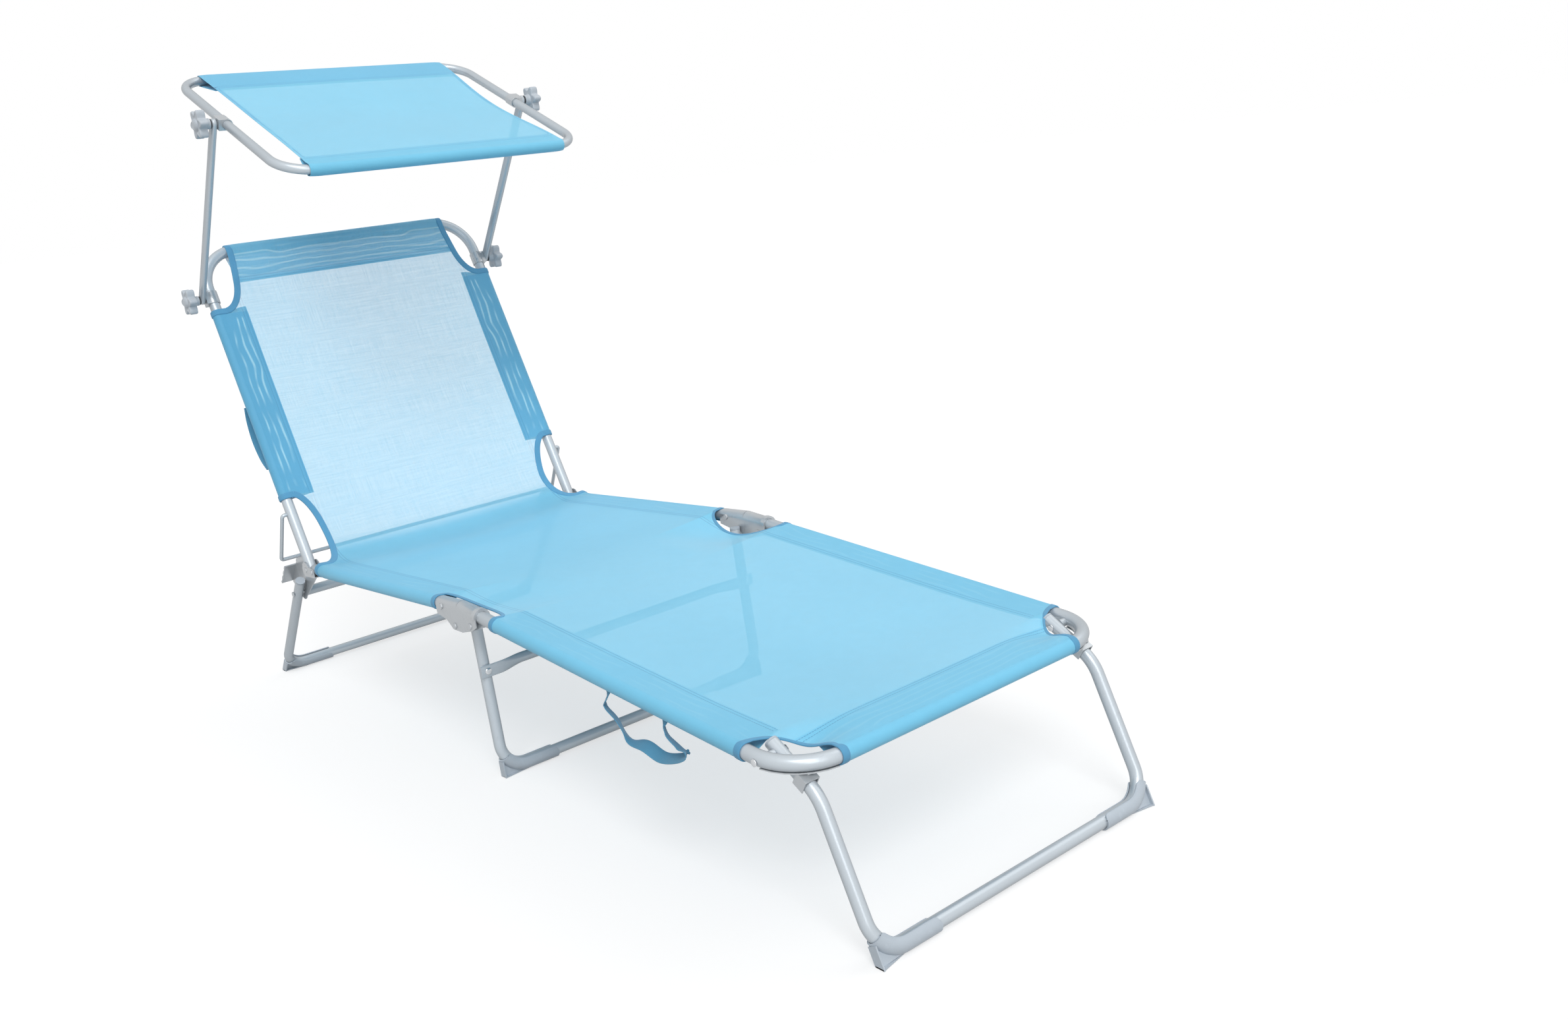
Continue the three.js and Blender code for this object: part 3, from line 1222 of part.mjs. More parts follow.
// The origin stands on the floor under the middle of the object
const bounds = new THREE.Box3().setFromObject(part);
const middle = (bounds.min.y + bounds.max.y) / 2;
for (const mesh of part.children) {
  mesh.position.y = -middle;
}
part.userData.places = {
  middle, footPivot, frontPivot, midPivot, rearPivot, standPivot, standBar, armPivot, canopyPivot,
  hinge: [HINGE_Y, HINGE_Z], min: bounds.min.toArray(), max: bounds.max.toArray(),
};

export default part;
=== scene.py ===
import json
import math
import bmesh
import bpy
import numpy as np
from mathutils import Matrix, Vector


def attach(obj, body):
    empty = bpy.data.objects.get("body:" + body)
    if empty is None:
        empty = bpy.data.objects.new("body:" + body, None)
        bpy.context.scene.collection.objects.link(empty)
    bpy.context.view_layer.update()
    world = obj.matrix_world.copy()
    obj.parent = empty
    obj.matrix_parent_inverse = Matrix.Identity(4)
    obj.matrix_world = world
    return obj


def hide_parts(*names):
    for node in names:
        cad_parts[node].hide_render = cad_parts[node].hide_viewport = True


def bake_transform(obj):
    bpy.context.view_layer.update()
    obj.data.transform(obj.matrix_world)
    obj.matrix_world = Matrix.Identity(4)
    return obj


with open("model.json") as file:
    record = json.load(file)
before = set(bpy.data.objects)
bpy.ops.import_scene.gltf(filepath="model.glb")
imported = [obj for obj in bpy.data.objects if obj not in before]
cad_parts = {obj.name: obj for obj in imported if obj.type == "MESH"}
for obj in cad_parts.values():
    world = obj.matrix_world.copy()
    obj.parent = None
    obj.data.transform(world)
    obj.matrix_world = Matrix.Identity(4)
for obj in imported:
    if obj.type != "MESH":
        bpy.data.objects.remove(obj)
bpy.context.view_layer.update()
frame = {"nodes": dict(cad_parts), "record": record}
cadNodes = frame["nodes"]
bodyOfNode = {n: b for b, names in frame["record"]["behaviour"]["bodies"].items() for n in names}
print("frame loaded,", len(cadNodes), "nodes")

# metres and degrees, the same places as the solids
lounger = {
    "middle": 0.778758,
    "halfWidth": 0.280,
    "railRadius": 0.010,
    "legRadius": 0.009,
    "canopyRadius": 0.008,
    "wireRadius": 0.0035,
    "footEndZ": 0.225,
    "kinkY": 0.763,
    "kinkZ": 0.287,
    "hingeY": 1.361,
    "hingeZ": 0.256,
    "backLength": 0.639,
    "backAngle": 64.7,
}
halfWidth, railRadius = lounger["halfWidth"], lounger["railRadius"]
footSlope = math.atan2(lounger["kinkZ"] - lounger["footEndZ"], lounger["kinkY"])
seatSlope = math.atan2(lounger["hingeZ"] - lounger["kinkZ"], lounger["hingeY"] - lounger["kinkY"])
backAngle = math.radians(lounger["backAngle"])
footLength = math.hypot(lounger["kinkY"], lounger["kinkZ"] - lounger["footEndZ"])
seatLength = math.hypot(lounger["hingeY"] - lounger["kinkY"], lounger["hingeZ"] - lounger["kinkZ"])
hingeAt = footLength + seatLength  # distance along the rails from the front rail
topAt = hingeAt + lounger["backLength"]


def place(x, y, z):
    # A point given from the front rail, moved to the middle of the frame's box.
    return Vector((x, y - lounger["middle"], z))


def footZ(y):
    # Height of a foot rail: footEndZ + y * tan(slope).
    return lounger["footEndZ"] + y * math.tan(footSlope)


def seatZ(y):
    # Height of a seat rail: kinkZ + (y - kinkY) * tan(slope).
    return lounger["kinkZ"] + (y - lounger["kinkY"]) * math.tan(seatSlope)


def turnedFrom(origin, angle, along, off):
    # Y and Z of origin, plus along in the direction of the angle, plus off square to it.
    return (origin[0] + along * math.cos(angle) - off * math.sin(angle),
            origin[1] + along * math.sin(angle) + off * math.cos(angle))


def backPlace(along, off=0.0):
    # A point along the back from its hinge, and off in front of it.
    return turnedFrom((lounger["hingeY"], lounger["hingeZ"]), backAngle, along, off)


# shader helpers
def calc(tree, operation, a, b=None, c=None, clamp=False):
    # One Math node; each value is a number or a socket.
    n = tree.nodes.new("ShaderNodeMath")
    n.operation = operation
    n.use_clamp = clamp
    for i, v in enumerate((a, b, c)):
        if v is None:
            continue
        if isinstance(v, (int, float)):
            n.inputs[i].default_value = v
        else:
            tree.links.new(v, n.inputs[i])
    return n.outputs[0]


def times(tree, a, b):
    # a * b
    return calc(tree, "MULTIPLY", a, b)


def varied(tree, value, amount, middle):
    # middle + amount * (value - 0.5)
    return calc(tree, "MULTIPLY_ADD", calc(tree, "SUBTRACT", value, 0.5), amount, middle)


def mixColour(tree, factor, a, b, blend="MIX"):
    # a + (b - a) * factor, or another blend of the two colours.
    n = tree.nodes.new("ShaderNodeMix")
    n.data_type = "RGBA"
    n.blend_type = blend
    for socket, v in ((n.inputs[0], factor), (n.inputs[6], a), (n.inputs[7], b)):
        if isinstance(v, (int, float)):
            socket.default_value = v
        elif isinstance(v, tuple):
            socket.default_value = (*v, 1.0)
        else:
            tree.links.new(v, socket)
    return n.outputs[2]


def noiseOf(tree, vector, scale, detail=3.0, rough=0.5):
    # Fractal noise from 0 to 1 at vector * scale.
    n = tree.nodes.new("ShaderNodeTexNoise")
    n.inputs["Scale"].default_value = scale
    n.inputs["Detail"].default_value = detail
    n.inputs["Roughness"].default_value = rough
    tree.links.new(vector, n.inputs["Vector"])
    return n.outputs["Fac"]


def spread(tree, value, low, high, toLow=0.0, toHigh=1.0):
    # toLow + (toHigh - toLow) * (value - low) / (high - low), held between both.
    n = tree.nodes.new("ShaderNodeMapRange")
    n.clamp = True
    for name, v in (("From Min", low), ("From Max", high), ("To Min", toLow), ("To Max", toHigh)):
        n.inputs[name].default_value = v
    tree.links.new(value, n.inputs["Value"])
    return n.outputs[0]


def scaled(tree, vector, x, y, z):
    # (vx * x, vy * y, vz * z)
    n = tree.nodes.new("ShaderNodeMapping")
    n.inputs["Scale"].default_value = (x, y, z)
    tree.links.new(vector, n.inputs["Vector"])
    return n.outputs[0]


def combined(tree, x, y, z=0.0):
    # The vector (x, y, z) from numbers or sockets.
    n = tree.nodes.new("ShaderNodeCombineXYZ")
    for i, v in enumerate((x, y, z)):
        if isinstance(v, (int, float)):
            n.inputs[i].default_value = v
        else:
            tree.links.new(v, n.inputs[i])
    return n.outputs[0]


def tinted(tree, colour, tone):
    # colour * tone
    return mixColour(tree, 1.0, colour, combined(tree, tone, tone, tone), "MULTIPLY")


def newGroup(name, inputs, outputs):
    # A node group with named float or vector inputs and named float outputs.
    tree = bpy.data.node_groups.new(name, "ShaderNodeTree")
    kinds = {"float": "NodeSocketFloat", "vector": "NodeSocketVector"}
    for title, kind, value in inputs:
        socket = tree.interface.new_socket(name=title, in_out="INPUT", socket_type=kinds[kind])
        if value is not None:
            socket.default_value = value
    for title in outputs:
        tree.interface.new_socket(name=title, in_out="OUTPUT", socket_type=kinds["float"])
    return tree, tree.nodes.new("NodeGroupInput").outputs, tree.nodes.new("NodeGroupOutput").inputs


def useGroup(tree, group, **values):
    # The group placed in a material; each value is a number or a socket.
    n = tree.nodes.new("ShaderNodeGroup")
    n.node_tree = group
    for title, v in values.items():
        if isinstance(v, bpy.types.NodeSocket):
            tree.links.new(v, n.inputs[title])
        else:
            n.inputs[title].default_value = v
    return n.outputs


def newMaterial(name):
    # A material with its tree, its shader and its coordinates.
    m = bpy.data.materials.new(name)
    m.use_nodes = True
    coords = m.node_tree.nodes.new("ShaderNodeTexCoord").outputs
    return m, m.node_tree, m.node_tree.nodes["Principled BSDF"], coords


def attribute(tree, name):
    # A value that the mesh holds at each point.
    n = tree.nodes.new("ShaderNodeAttribute")
    n.attribute_name = name
    return n.outputs["Fac"]


def uvOf(tree, coords):
    # Metres across and along the cloth, from the piece's own UV map.
    uvs = tree.nodes.new("ShaderNodeSeparateXYZ")
    tree.links.new(coords["UV"], uvs.inputs[0])
    return uvs.outputs[0], uvs.outputs[1]


def bumpInto(tree, shader, height, strength, distance):
    # Height times distance tilts the shader's normal, by the share strength.
    n = tree.nodes.new("ShaderNodeBump")
    n.inputs["Strength"].default_value = strength
    n.inputs["Distance"].default_value = distance
    tree.links.new(height, n.inputs["Height"])
    tree.links.new(n.outputs[0], shader.inputs["Normal"])


# shared effects
def makeThreadWeave():
    # Plain weave: round threads at a pitch, over and under by turns, with gaps between them.
    tree, inp, out = newGroup("threadWeave", [
        ("Across", "float", 0.0), ("Along", "float", 0.0), ("Pitch", "float", 0.0013), ("Gap", "float", 0.85),
    ], ["Height", "Cover", "Tint"])
    u = calc(tree, "DIVIDE", inp["Across"], inp["Pitch"])
    v = calc(tree, "DIVIDE", inp["Along"], inp["Pitch"])
    su = calc(tree, "SINE", times(tree, u, math.pi))
    sv = calc(tree, "SINE", times(tree, v, math.pi))
    over = calc(tree, "MULTIPLY_ADD", calc(tree, "SIGN", times(tree, su, sv)), 0.5, 0.5)
    hu, hv = calc(tree, "ABSOLUTE", su), calc(tree, "ABSOLUTE", sv)
    warp = times(tree, hu, calc(tree, "MULTIPLY_ADD", over, 0.5, 0.5))
    weft = times(tree, hv, calc(tree, "MULTIPLY_ADD", over, -0.5, 1.0))
    tree.links.new(calc(tree, "MAXIMUM", warp, weft), out["Height"])
    edge = calc(tree, "SUBTRACT", calc(tree, "MAXIMUM", hu, hv), inp["Gap"])
    tree.links.new(calc(tree, "MULTIPLY_ADD", edge, 5.0, 0.5, clamp=True), out["Cover"])
    drift = noiseOf(tree, combined(tree, calc(tree, "FLOOR", u), times(tree, v, 0.02)), 0.9, 1.0)
    lift = noiseOf(tree, combined(tree, times(tree, u, 0.02), calc(tree, "FLOOR", v), 7.0), 0.9, 1.0)
    tree.links.new(times(tree, calc(tree, "ADD", drift, lift), 0.5), out["Tint"])
    return tree


def makeStitchRow():
    # One row of stitches: short dashes on a line, with a puckered groove beside them.
    tree, inp, out = newGroup("stitchRow", [
        ("Offset", "float", 1.0), ("Run", "float", 0.0), ("Length", "float", 0.0042), ("Width", "float", 0.0005),
    ], ["Mask", "Groove"])
    gone = calc(tree, "ABSOLUTE", inp["Offset"])
    line = calc(tree, "LESS_THAN", gone, inp["Width"])
    step = calc(tree, "FRACT", calc(tree, "DIVIDE", inp["Run"], inp["Length"]))
    dash = calc(tree, "LESS_THAN", step, 0.72)
    tree.links.new(times(tree, line, dash), out["Mask"])
    soft = calc(tree, "DIVIDE", gone, 0.0022)
    tree.links.new(calc(tree, "SUBTRACT", 1.0, soft, clamp=True), out["Groove"])
    return tree


def makeHemStreaks():
    # Light wavy streaks that run along a hem where two layers of open cloth lie on each other.
    tree, inp, out = newGroup("hemStreaks", [
        ("Band", "float", 0.0), ("Run", "float", 0.0), ("Width", "float", 0.05), ("Steady", "float", 0.0),
        ("Spacing", "float", 0.0135),
    ], ["Mask"])
    drawn = combined(tree, times(tree, inp["Run"], 9.0), times(tree, inp["Band"], 14.0))
    wander = noiseOf(tree, drawn, 1.0, 1.5)
    phase = calc(tree, "MULTIPLY_ADD", wander, 2.6, calc(tree, "DIVIDE", inp["Band"], inp["Spacing"]))
    wave = calc(tree, "SINE", times(tree, phase, math.tau))
    mottled = combined(tree, times(tree, inp["Run"], 16.0), times(tree, inp["Band"], 45.0), 3.0)
    patch = calc(tree, "MAXIMUM", spread(tree, noiseOf(tree, mottled, 1.0, 1.0), 0.36, 0.52), inp["Steady"])
    lines = times(tree, spread(tree, wave, 0.35, 0.95), patch)
    enter = spread(tree, inp["Band"], 0.009, 0.014)
    leave = spread(tree, calc(tree, "SUBTRACT", inp["Width"], inp["Band"]), 0.004, 0.010)
    tree.links.new(times(tree, lines, times(tree, enter, leave)), out["Mask"])
    return tree


def makePaintGrain():
    # Sprayed metal paint: fine sparkle, a slight orange peel, faint rubs and dust.
    tree, inp, out = newGroup("paintGrain", [
        ("Vector", "vector", None), ("Grain", "float", 1.0), ("Rubs", "float", 0.3),
    ], ["Tone", "Rough", "Height"])
    flake = noiseOf(tree, inp["Vector"], 1900.0, 1.0)
    peel = noiseOf(tree, inp["Vector"], 420.0, 2.0)
    cloud = noiseOf(tree, inp["Vector"], 9.0, 3.0)
    rub = spread(tree, noiseOf(tree, scaled(tree, inp["Vector"], 35.0, 260.0, 60.0), 1.0, 4.0, 0.6), 0.60, 0.70)
    rub = times(tree, times(tree, rub, inp["Rubs"]), spread(tree, cloud, 0.45, 0.6))
    tone = varied(tree, flake, 0.20, 1.0)
    tone = varied(tree, cloud, 0.12, tone)
    tree.links.new(calc(tree, "MULTIPLY_ADD", rub, -0.25, tone), out["Tone"])
    rough = varied(tree, cloud, 0.16, 0.0)
    tree.links.new(calc(tree, "MULTIPLY_ADD", rub, 0.22, rough), out["Rough"])
    height = times(tree, calc(tree, "ADD", peel, times(tree, flake, 0.25)), inp["Grain"])
    tree.links.new(calc(tree, "MULTIPLY_ADD", rub, -0.5, height), out["Height"])
    return tree


threadWeave, stitchRow = makeThreadWeave(), makeStitchRow()
hemStreaks, paintGrain = makeHemStreaks(), makePaintGrain()


def paintedMetal(name, colour, metal, rough, rubs, grain=1.0, slantShade=0.45):
    # Painted shade: colour * tone * (1 - share * facing ^ 1.5), darker where the paint is seen at a slant; partly the
    # flop of flake paint, partly shade on the sides of round tubes.
    m, tree, shader, coords = newMaterial(name)
    g = useGroup(tree, paintGrain, Vector=coords["Object"], Grain=grain, Rubs=rubs)
    slant = tree.nodes.new("ShaderNodeLayerWeight")
    slant.inputs["Blend"].default_value = 0.5
    # painted shade towards the outline, where the surface turns away from the camera
    fade = calc(tree, "MULTIPLY_ADD", calc(tree, "POWER", slant.outputs["Facing"], 1.5), -slantShade, 1.0)
    tree.links.new(tinted(tree, colour, times(tree, g["Tone"], fade)), shader.inputs["Base Color"])
    tree.links.new(calc(tree, "ADD", g["Rough"], rough, clamp=True), shader.inputs["Roughness"])
    shader.inputs["Metallic"].default_value = metal
    bumpInto(tree, shader, g["Height"], 0.12, 0.00010)
    return m


def mouldedPlastic(name, colour, rough):
    # Grey injection-moulded plastic: colour * (fine grain + faint flow marks), paler and rougher in scuffs.
    m, tree, shader, coords = newMaterial(name)
    spot = coords["Object"]
    grain = noiseOf(tree, spot, 1500.0, 2.0)
    flow = noiseOf(tree, scaled(tree, spot, 22.0, 22.0, 60.0), 1.0, 3.0)
    scuff = spread(tree, noiseOf(tree, spot, 85.0, 4.0, 0.62), 0.58, 0.72)
    tone = varied(tree, grain, 0.10, varied(tree, flow, 0.14, 1.0))
    pale = tuple(min(1.0, c * 1.25) for c in colour)
    mixed = mixColour(tree, times(tree, scuff, 0.35), tinted(tree, colour, tone), pale)
    tree.links.new(mixed, shader.inputs["Base Color"])
    tree.links.new(calc(tree, "MULTIPLY_ADD", scuff, 0.18, rough, clamp=True), shader.inputs["Roughness"])
    bumpInto(tree, shader, grain, 0.30, 0.00010)
    return m


clothLook = {
    "pitch": 0.00125,
    "gap": 0.85,
    "threadColour": (0.235, 0.660, 0.900),
    "threadShade": (0.175, 0.590, 0.850),
    "canopyColour": (0.215, 0.630, 0.860),
    "canopyShade": (0.160, 0.560, 0.795),
    "hemColour": (0.125, 0.465, 0.725),
    "streakColour": (0.45, 0.80, 0.95),
    "stitchColour": (0.085, 0.330, 0.570),
    "bindingColour": (0.095, 0.330, 0.545),
    "strapColour": (0.085, 0.290, 0.450),
    "stitchRows": (0.0030, 0.0085),  # from the seam
    "stitchShift": 0.002,
    "streakShown": 0.85,
    "hemShut": 0.75,  # the share of a gap that the hem behind it shuts
    "unevenGaps": 0.9,
}


def slingCloth(name, colour, shade, streaks=1.0):
    # Open woven cloth: alpha = 1 - (1 - thread cover) * openness * unevenness, with less of it in a hem. Its colour
    # goes from shade to colour with the threads' random tone and their height (painted light on the crowns, painted
    # shade in the hollows), then to those of the hem, its light streaks and the stitches.
    m, tree, shader, coords = newMaterial(name)
    across, along = uvOf(tree, coords)
    run, seam, openness = attribute(tree, "run"), attribute(tree, "seam"), attribute(tree, "openness")
    weave = useGroup(tree, threadWeave, Across=across, Along=along, Pitch=clothLook["pitch"], Gap=clothLook["gap"])
    rows = [useGroup(tree, stitchRow, Offset=calc(tree, "SUBTRACT", seam, row),
                     Run=calc(tree, "ADD", run, i * clothLook["stitchShift"]))
            for i, row in enumerate(clothLook["stitchRows"])]
    stitches = calc(tree, "MAXIMUM", rows[0]["Mask"], rows[1]["Mask"])
    groove = calc(tree, "MAXIMUM", rows[0]["Groove"], rows[1]["Groove"])
    light = useGroup(tree, hemStreaks, Band=attribute(tree, "lane"), Run=run, Width=attribute(tree, "hemWidth"),
                     Steady=attribute(tree, "steady"))
    streak = times(tree, times(tree, light["Mask"], attribute(tree, "streak")), streaks * clothLook["streakShown"])
    inHem = spread(tree, attribute(tree, "band"), -0.0004, 0.0004)
    # painted light and shade: the crowns of the threads lighter, their hollows darker, with a random tone per thread
    lit = calc(tree, "MULTIPLY_ADD", weave["Tint"], 0.55, times(tree, weave["Height"], 0.35))
    base = mixColour(tree, lit, shade, colour)
    base = mixColour(tree, times(tree, inHem, attribute(tree, "hemTone")), base, clothLook["hemColour"])
    base = mixColour(tree, streak, base, clothLook["streakColour"])
    base = mixColour(tree, stitches, base, clothLook["stitchColour"])
    tone = varied(tree, noiseOf(tree, coords["Object"], 5.0, 3.0), 0.10, 1.0)
    tone = varied(tree, noiseOf(tree, coords["Object"], 60.0, 4.0), 0.06, tone)
    # painted shade across the fold at the back hinge
    tone = times(tree, tone, calc(tree, "SUBTRACT", 1.0, attribute(tree, "foldDark")))
    tree.links.new(tinted(tree, base, tone), shader.inputs["Base Color"])
    uneven = varied(tree, weave["Tint"], clothLook["unevenGaps"], 1.0)
    gap = times(tree, calc(tree, "SUBTRACT", 1.0, weave["Cover"]), times(tree, openness, uneven))
    shut = calc(tree, "SUBTRACT", 1.0, times(tree, inHem, clothLook["hemShut"]))
    solid = calc(tree, "SUBTRACT", 1.0, times(tree, gap, shut), clamp=True)
    # a ray that came in through a gap of the near skin leaves freely through the far one
    farSkin = tree.nodes.new("ShaderNodeNewGeometry").outputs["Backfacing"]
    tree.links.new(times(tree, solid, calc(tree, "SUBTRACT", 1.0, farSkin)), shader.inputs["Alpha"])
    tree.links.new(spread(tree, weave["Height"], 0.0, 1.0, 0.75, 0.55), shader.inputs["Roughness"])
    shader.inputs["Sheen Weight"].default_value = 0.15
    shader.inputs["Sheen Roughness"].default_value = 0.5
    height = calc(tree, "MULTIPLY_ADD", groove, -1.6, weave["Height"])
    height = calc(tree, "MULTIPLY_ADD", stitches, 1.4, height)
    bumpInto(tree, shader, height, 0.35, 0.00035)
    return m


def tapeCloth(name, colour, ribPitch, rough=0.8):
    # Woven tape: colour * (0.80 + ribs across it + finer ones along it + slightly uneven dye).
    m, tree, shader, coords = newMaterial(name)
    across, along = uvOf(tree, coords)
    rib = calc(tree, "ABSOLUTE", calc(tree, "SINE", times(tree, along, math.pi / ribPitch)))
    fine = calc(tree, "ABSOLUTE", calc(tree, "SINE", times(tree, across, math.pi / (ribPitch * 0.8))))
    tone = calc(tree, "MULTIPLY_ADD", rib, 0.28, 0.80)
    tone = calc(tree, "MULTIPLY_ADD", fine, 0.10, tone)
    tone = varied(tree, noiseOf(tree, coords["Object"], 30.0, 3.0), 0.20, tone)
    tree.links.new(tinted(tree, colour, tone), shader.inputs["Base Color"])
    tree.links.new(spread(tree, rib, 0.0, 1.0, rough + 0.08, rough - 0.08), shader.inputs["Roughness"])
    shader.inputs["Sheen Weight"].default_value = 0.2
    bumpInto(tree, shader, calc(tree, "ADD", rib, times(tree, fine, 0.5)), 0.4, 0.0003)
    return m


paint = {
    # the last number of a painted metal is its painted shade at a slant
    "tube": paintedMetal("silverPaint", (0.590, 0.650, 0.700), 0.28, 0.33, 0.30, 1.0, 0.56),
    "plate": paintedMetal("pressedSteel", (0.540, 0.570, 0.595), 0.50, 0.30, 0.55, 1.3, 0.30),
    "rivet": paintedMetal("zincRivet", (0.68, 0.70, 0.72), 0.9, 0.26, 0.7),
    "shoe": mouldedPlastic("shoePlastic", (0.470, 0.530, 0.590), 0.46),
    "knob": mouldedPlastic("knobPlastic", (0.500, 0.550, 0.600), 0.42),
    "dark": mouldedPlastic("washerPlastic", (0.035, 0.038, 0.042), 0.5),
    "seat": slingCloth("slingCloth", clothLook["threadColour"], clothLook["threadShade"]),
    "canopy": slingCloth("canopyCloth", clothLook["canopyColour"], clothLook["canopyShade"], 0.0),
    "binding": tapeCloth("bindingTape", clothLook["bindingColour"], 0.0011),
    "strap": tapeCloth("strapWebbing", clothLook["strapColour"], 0.0016),
}
print("materials made")


# surface helpers
def ease(t):
    # From 0 to 1, level at both ends: 3 t^2 - 2 t^3.
    k = np.clip(t, 0, 1)
    return k * k * (3 - 2 * k)


def swell(value, power):
    # sign(value) * |value| ^ power, which squares a ring up.
    return np.sign(value) * np.abs(value) ** power


def runAlong(path):
    # Distance along a path at each of its points: the running sum of its steps.
    return np.concatenate([[0], np.cumsum(np.linalg.norm(np.diff(path, axis=0), axis=1))])


def addPiece(name, mesh, look, body=None, smooth=38.0):
    # The mesh as a piece on its body, smooth where its faces meet at less than smooth degrees.
    obj = bpy.data.objects.new(name, mesh)
    bpy.context.scene.collection.objects.link(obj)
    mesh.materials.clear()
    mesh.materials.append(paint[look])
    mesh.shade_smooth()
    mesh.set_sharp_from_angle(angle=math.radians(smooth))
    if body:
        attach(obj, body)
    return obj


def gridFaces(rows, columns, closeColumns):
    # Quads of a grid of rows x columns points, its columns joined round where asked.
    r, c = np.arange(rows - 1), np.arange(columns if closeColumns else columns - 1)
    rr, cc = np.meshgrid(r, c, indexing="ij")
    r2, c2 = rr + 1, (cc + 1) % columns
    faces = np.stack([rr * columns + cc, rr * columns + c2, r2 * columns + c2, r2 * columns + cc], -1)
    return faces.reshape(-1, 4)


class MeshPile:
    # Collects grids and shells of points, with UVs in metres and named point values, into one mesh.

    def __init__(self):
        self.points, self.faces, self.uvs, self.values, self.count = [], [], [], {}, 0

    def addGrid(self, points, uv=None, closeColumns=False, flip=False, values=None):
        # Quads over rows x columns of points; a value that an earlier grid didn't have counts there as 0.
        (rows, columns), values = points.shape[:2], values or {}
        faces = gridFaces(rows, columns, closeColumns)
        if uv is None:
            uv = np.zeros((rows, columns, 2))
        cornerUv = uv.reshape(-1, 2)[faces]
        if flip:
            faces, cornerUv = faces[:, ::-1], cornerUv[:, ::-1]
        self.faces += (faces + self.count).tolist()
        self.uvs.append(cornerUv.reshape(-1, 2))
        for key in {**self.values, **values}:
            done = self.values.setdefault(key, np.zeros(self.count))
            new = np.broadcast_to(values.get(key, 0.0), (rows, columns))
            self.values[key] = np.concatenate([done, new.reshape(-1)])
        self.points.append(points.reshape(-1, 3))
        self.count += rows * columns

    def addCap(self, ring, flip=False):
        # One face over a closed ring.
        n = len(ring)
        face = list(range(self.count, self.count + n))
        self.faces.append(face[::-1] if flip else face)
        self.uvs.append(np.zeros((n, 2)))
        for key in self.values:
            self.values[key] = np.concatenate([self.values[key], np.zeros(n)])
        self.points.append(np.asarray(ring, float))
        self.count += n

    def toMesh(self, name, weld=2e-5, outward=True):
        # All of it as one mesh, points nearer than weld joined, faces turned outward.
        mesh = bpy.data.meshes.new(name)
        mesh.from_pydata(np.concatenate(self.points).tolist(), [], self.faces)
        layer = mesh.uv_layers.new(name="metres")
        layer.data.foreach_set("uv", np.concatenate(self.uvs).astype(np.float32).ravel())
        for key, value in self.values.items():
            mesh.attributes.new(key, "FLOAT", "POINT").data.foreach_set("value", value.astype(np.float32))
        work = bmesh.new()
        work.from_mesh(mesh)
        if weld:
            bmesh.ops.remove_doubles(work, verts=work.verts, dist=weld)
        if outward:
            bmesh.ops.recalc_face_normals(work, faces=work.faces)
        work.to_mesh(mesh)
        work.free()
        return mesh


def roundedPath(corners, radii, steps):
    # Straight runs joined by circular bends: each corner is cut back by radius * tan(turn / 2).
    corners = [np.array(c, float) for c in corners]
    points = [corners[0]]
    for i in range(1, len(corners) - 1):
        before = corners[i] - corners[i - 1]
        after = corners[i + 1] - corners[i]
        before, after = before / np.linalg.norm(before), after / np.linalg.norm(after)
        turn = math.acos(max(-1.0, min(1.0, float(before @ after))))
        radius = radii[i - 1]
        start = corners[i] - before * radius * math.tan(turn / 2)
        inward = after - before * float(after @ before)
        inward /= np.linalg.norm(inward)
        a = np.linspace(0, turn, steps + 1)[:, None]
        points += list(start + inward * radius * (1 - np.cos(a)) + before * radius * np.sin(a))
    points.append(corners[-1])
    return np.array(points)


def levelAcross(direction):
    # A direction of length 1 square to the one given: level, or square to X where that one is upright.
    side = np.cross(direction, (0.0, 0.0, 1.0))
    if np.linalg.norm(side) < 0.1:
        side = np.cross(direction, (1.0, 0.0, 0.0))
    return side / np.linalg.norm(side)


def pathFrames(path):
    # Two directions across a path at each point: the first is carried along, so that it doesn't twist.
    steps = np.diff(path, axis=0)
    steps = steps / np.linalg.norm(steps, axis=1)[:, None]
    tangents = np.concatenate([steps[:1], steps[:-1] + steps[1:], steps[-1:]])
    tangents /= np.linalg.norm(tangents, axis=1)[:, None]
    sides = [levelAcross(tangents[0])]
    for t in tangents[1:]:
        s = sides[-1] - t * float(sides[-1] @ t)
        sides.append(s / np.linalg.norm(s))
    sides = np.array(sides)
    return sides, np.cross(tangents, sides)


def sweepRound(pile, path, radius, sides, wall=0.0, wide=None, thick=None):
    # A ring of the radius (or wide by thick) carried along the path; a wall gives it an inner skin.
    across, up = pathFrames(path)
    a = np.linspace(0, math.tau, sides, endpoint=False)
    wide = np.full(len(path), radius) if wide is None else wide
    thick = np.full(len(path), radius) if thick is None else thick

    def skin(shrink):
        # path + across * cos(a) * (wide - shrink) + up * sin(a) * (thick - shrink)
        u, v = np.cos(a) * (wide - shrink)[:, None], np.sin(a) * (thick - shrink)[:, None]
        return path[:, None] + across[:, None] * u[..., None] + up[:, None] * v[..., None]

    outer = skin(0.0)
    uv = np.stack(np.broadcast_arrays(a[None] * radius, runAlong(path)[:, None]), -1)
    pile.addGrid(outer, uv, closeColumns=True)
    if wall:
        inner = skin(wall)
        pile.addGrid(inner, uv, closeColumns=True, flip=True)
        for end, flip in ((0, False), (-1, True)):
            pile.addGrid(np.stack([outer[end], inner[end]]), closeColumns=True, flip=not flip)
    else:
        pile.addCap(outer[0], flip=True)
        pile.addCap(outer[-1])


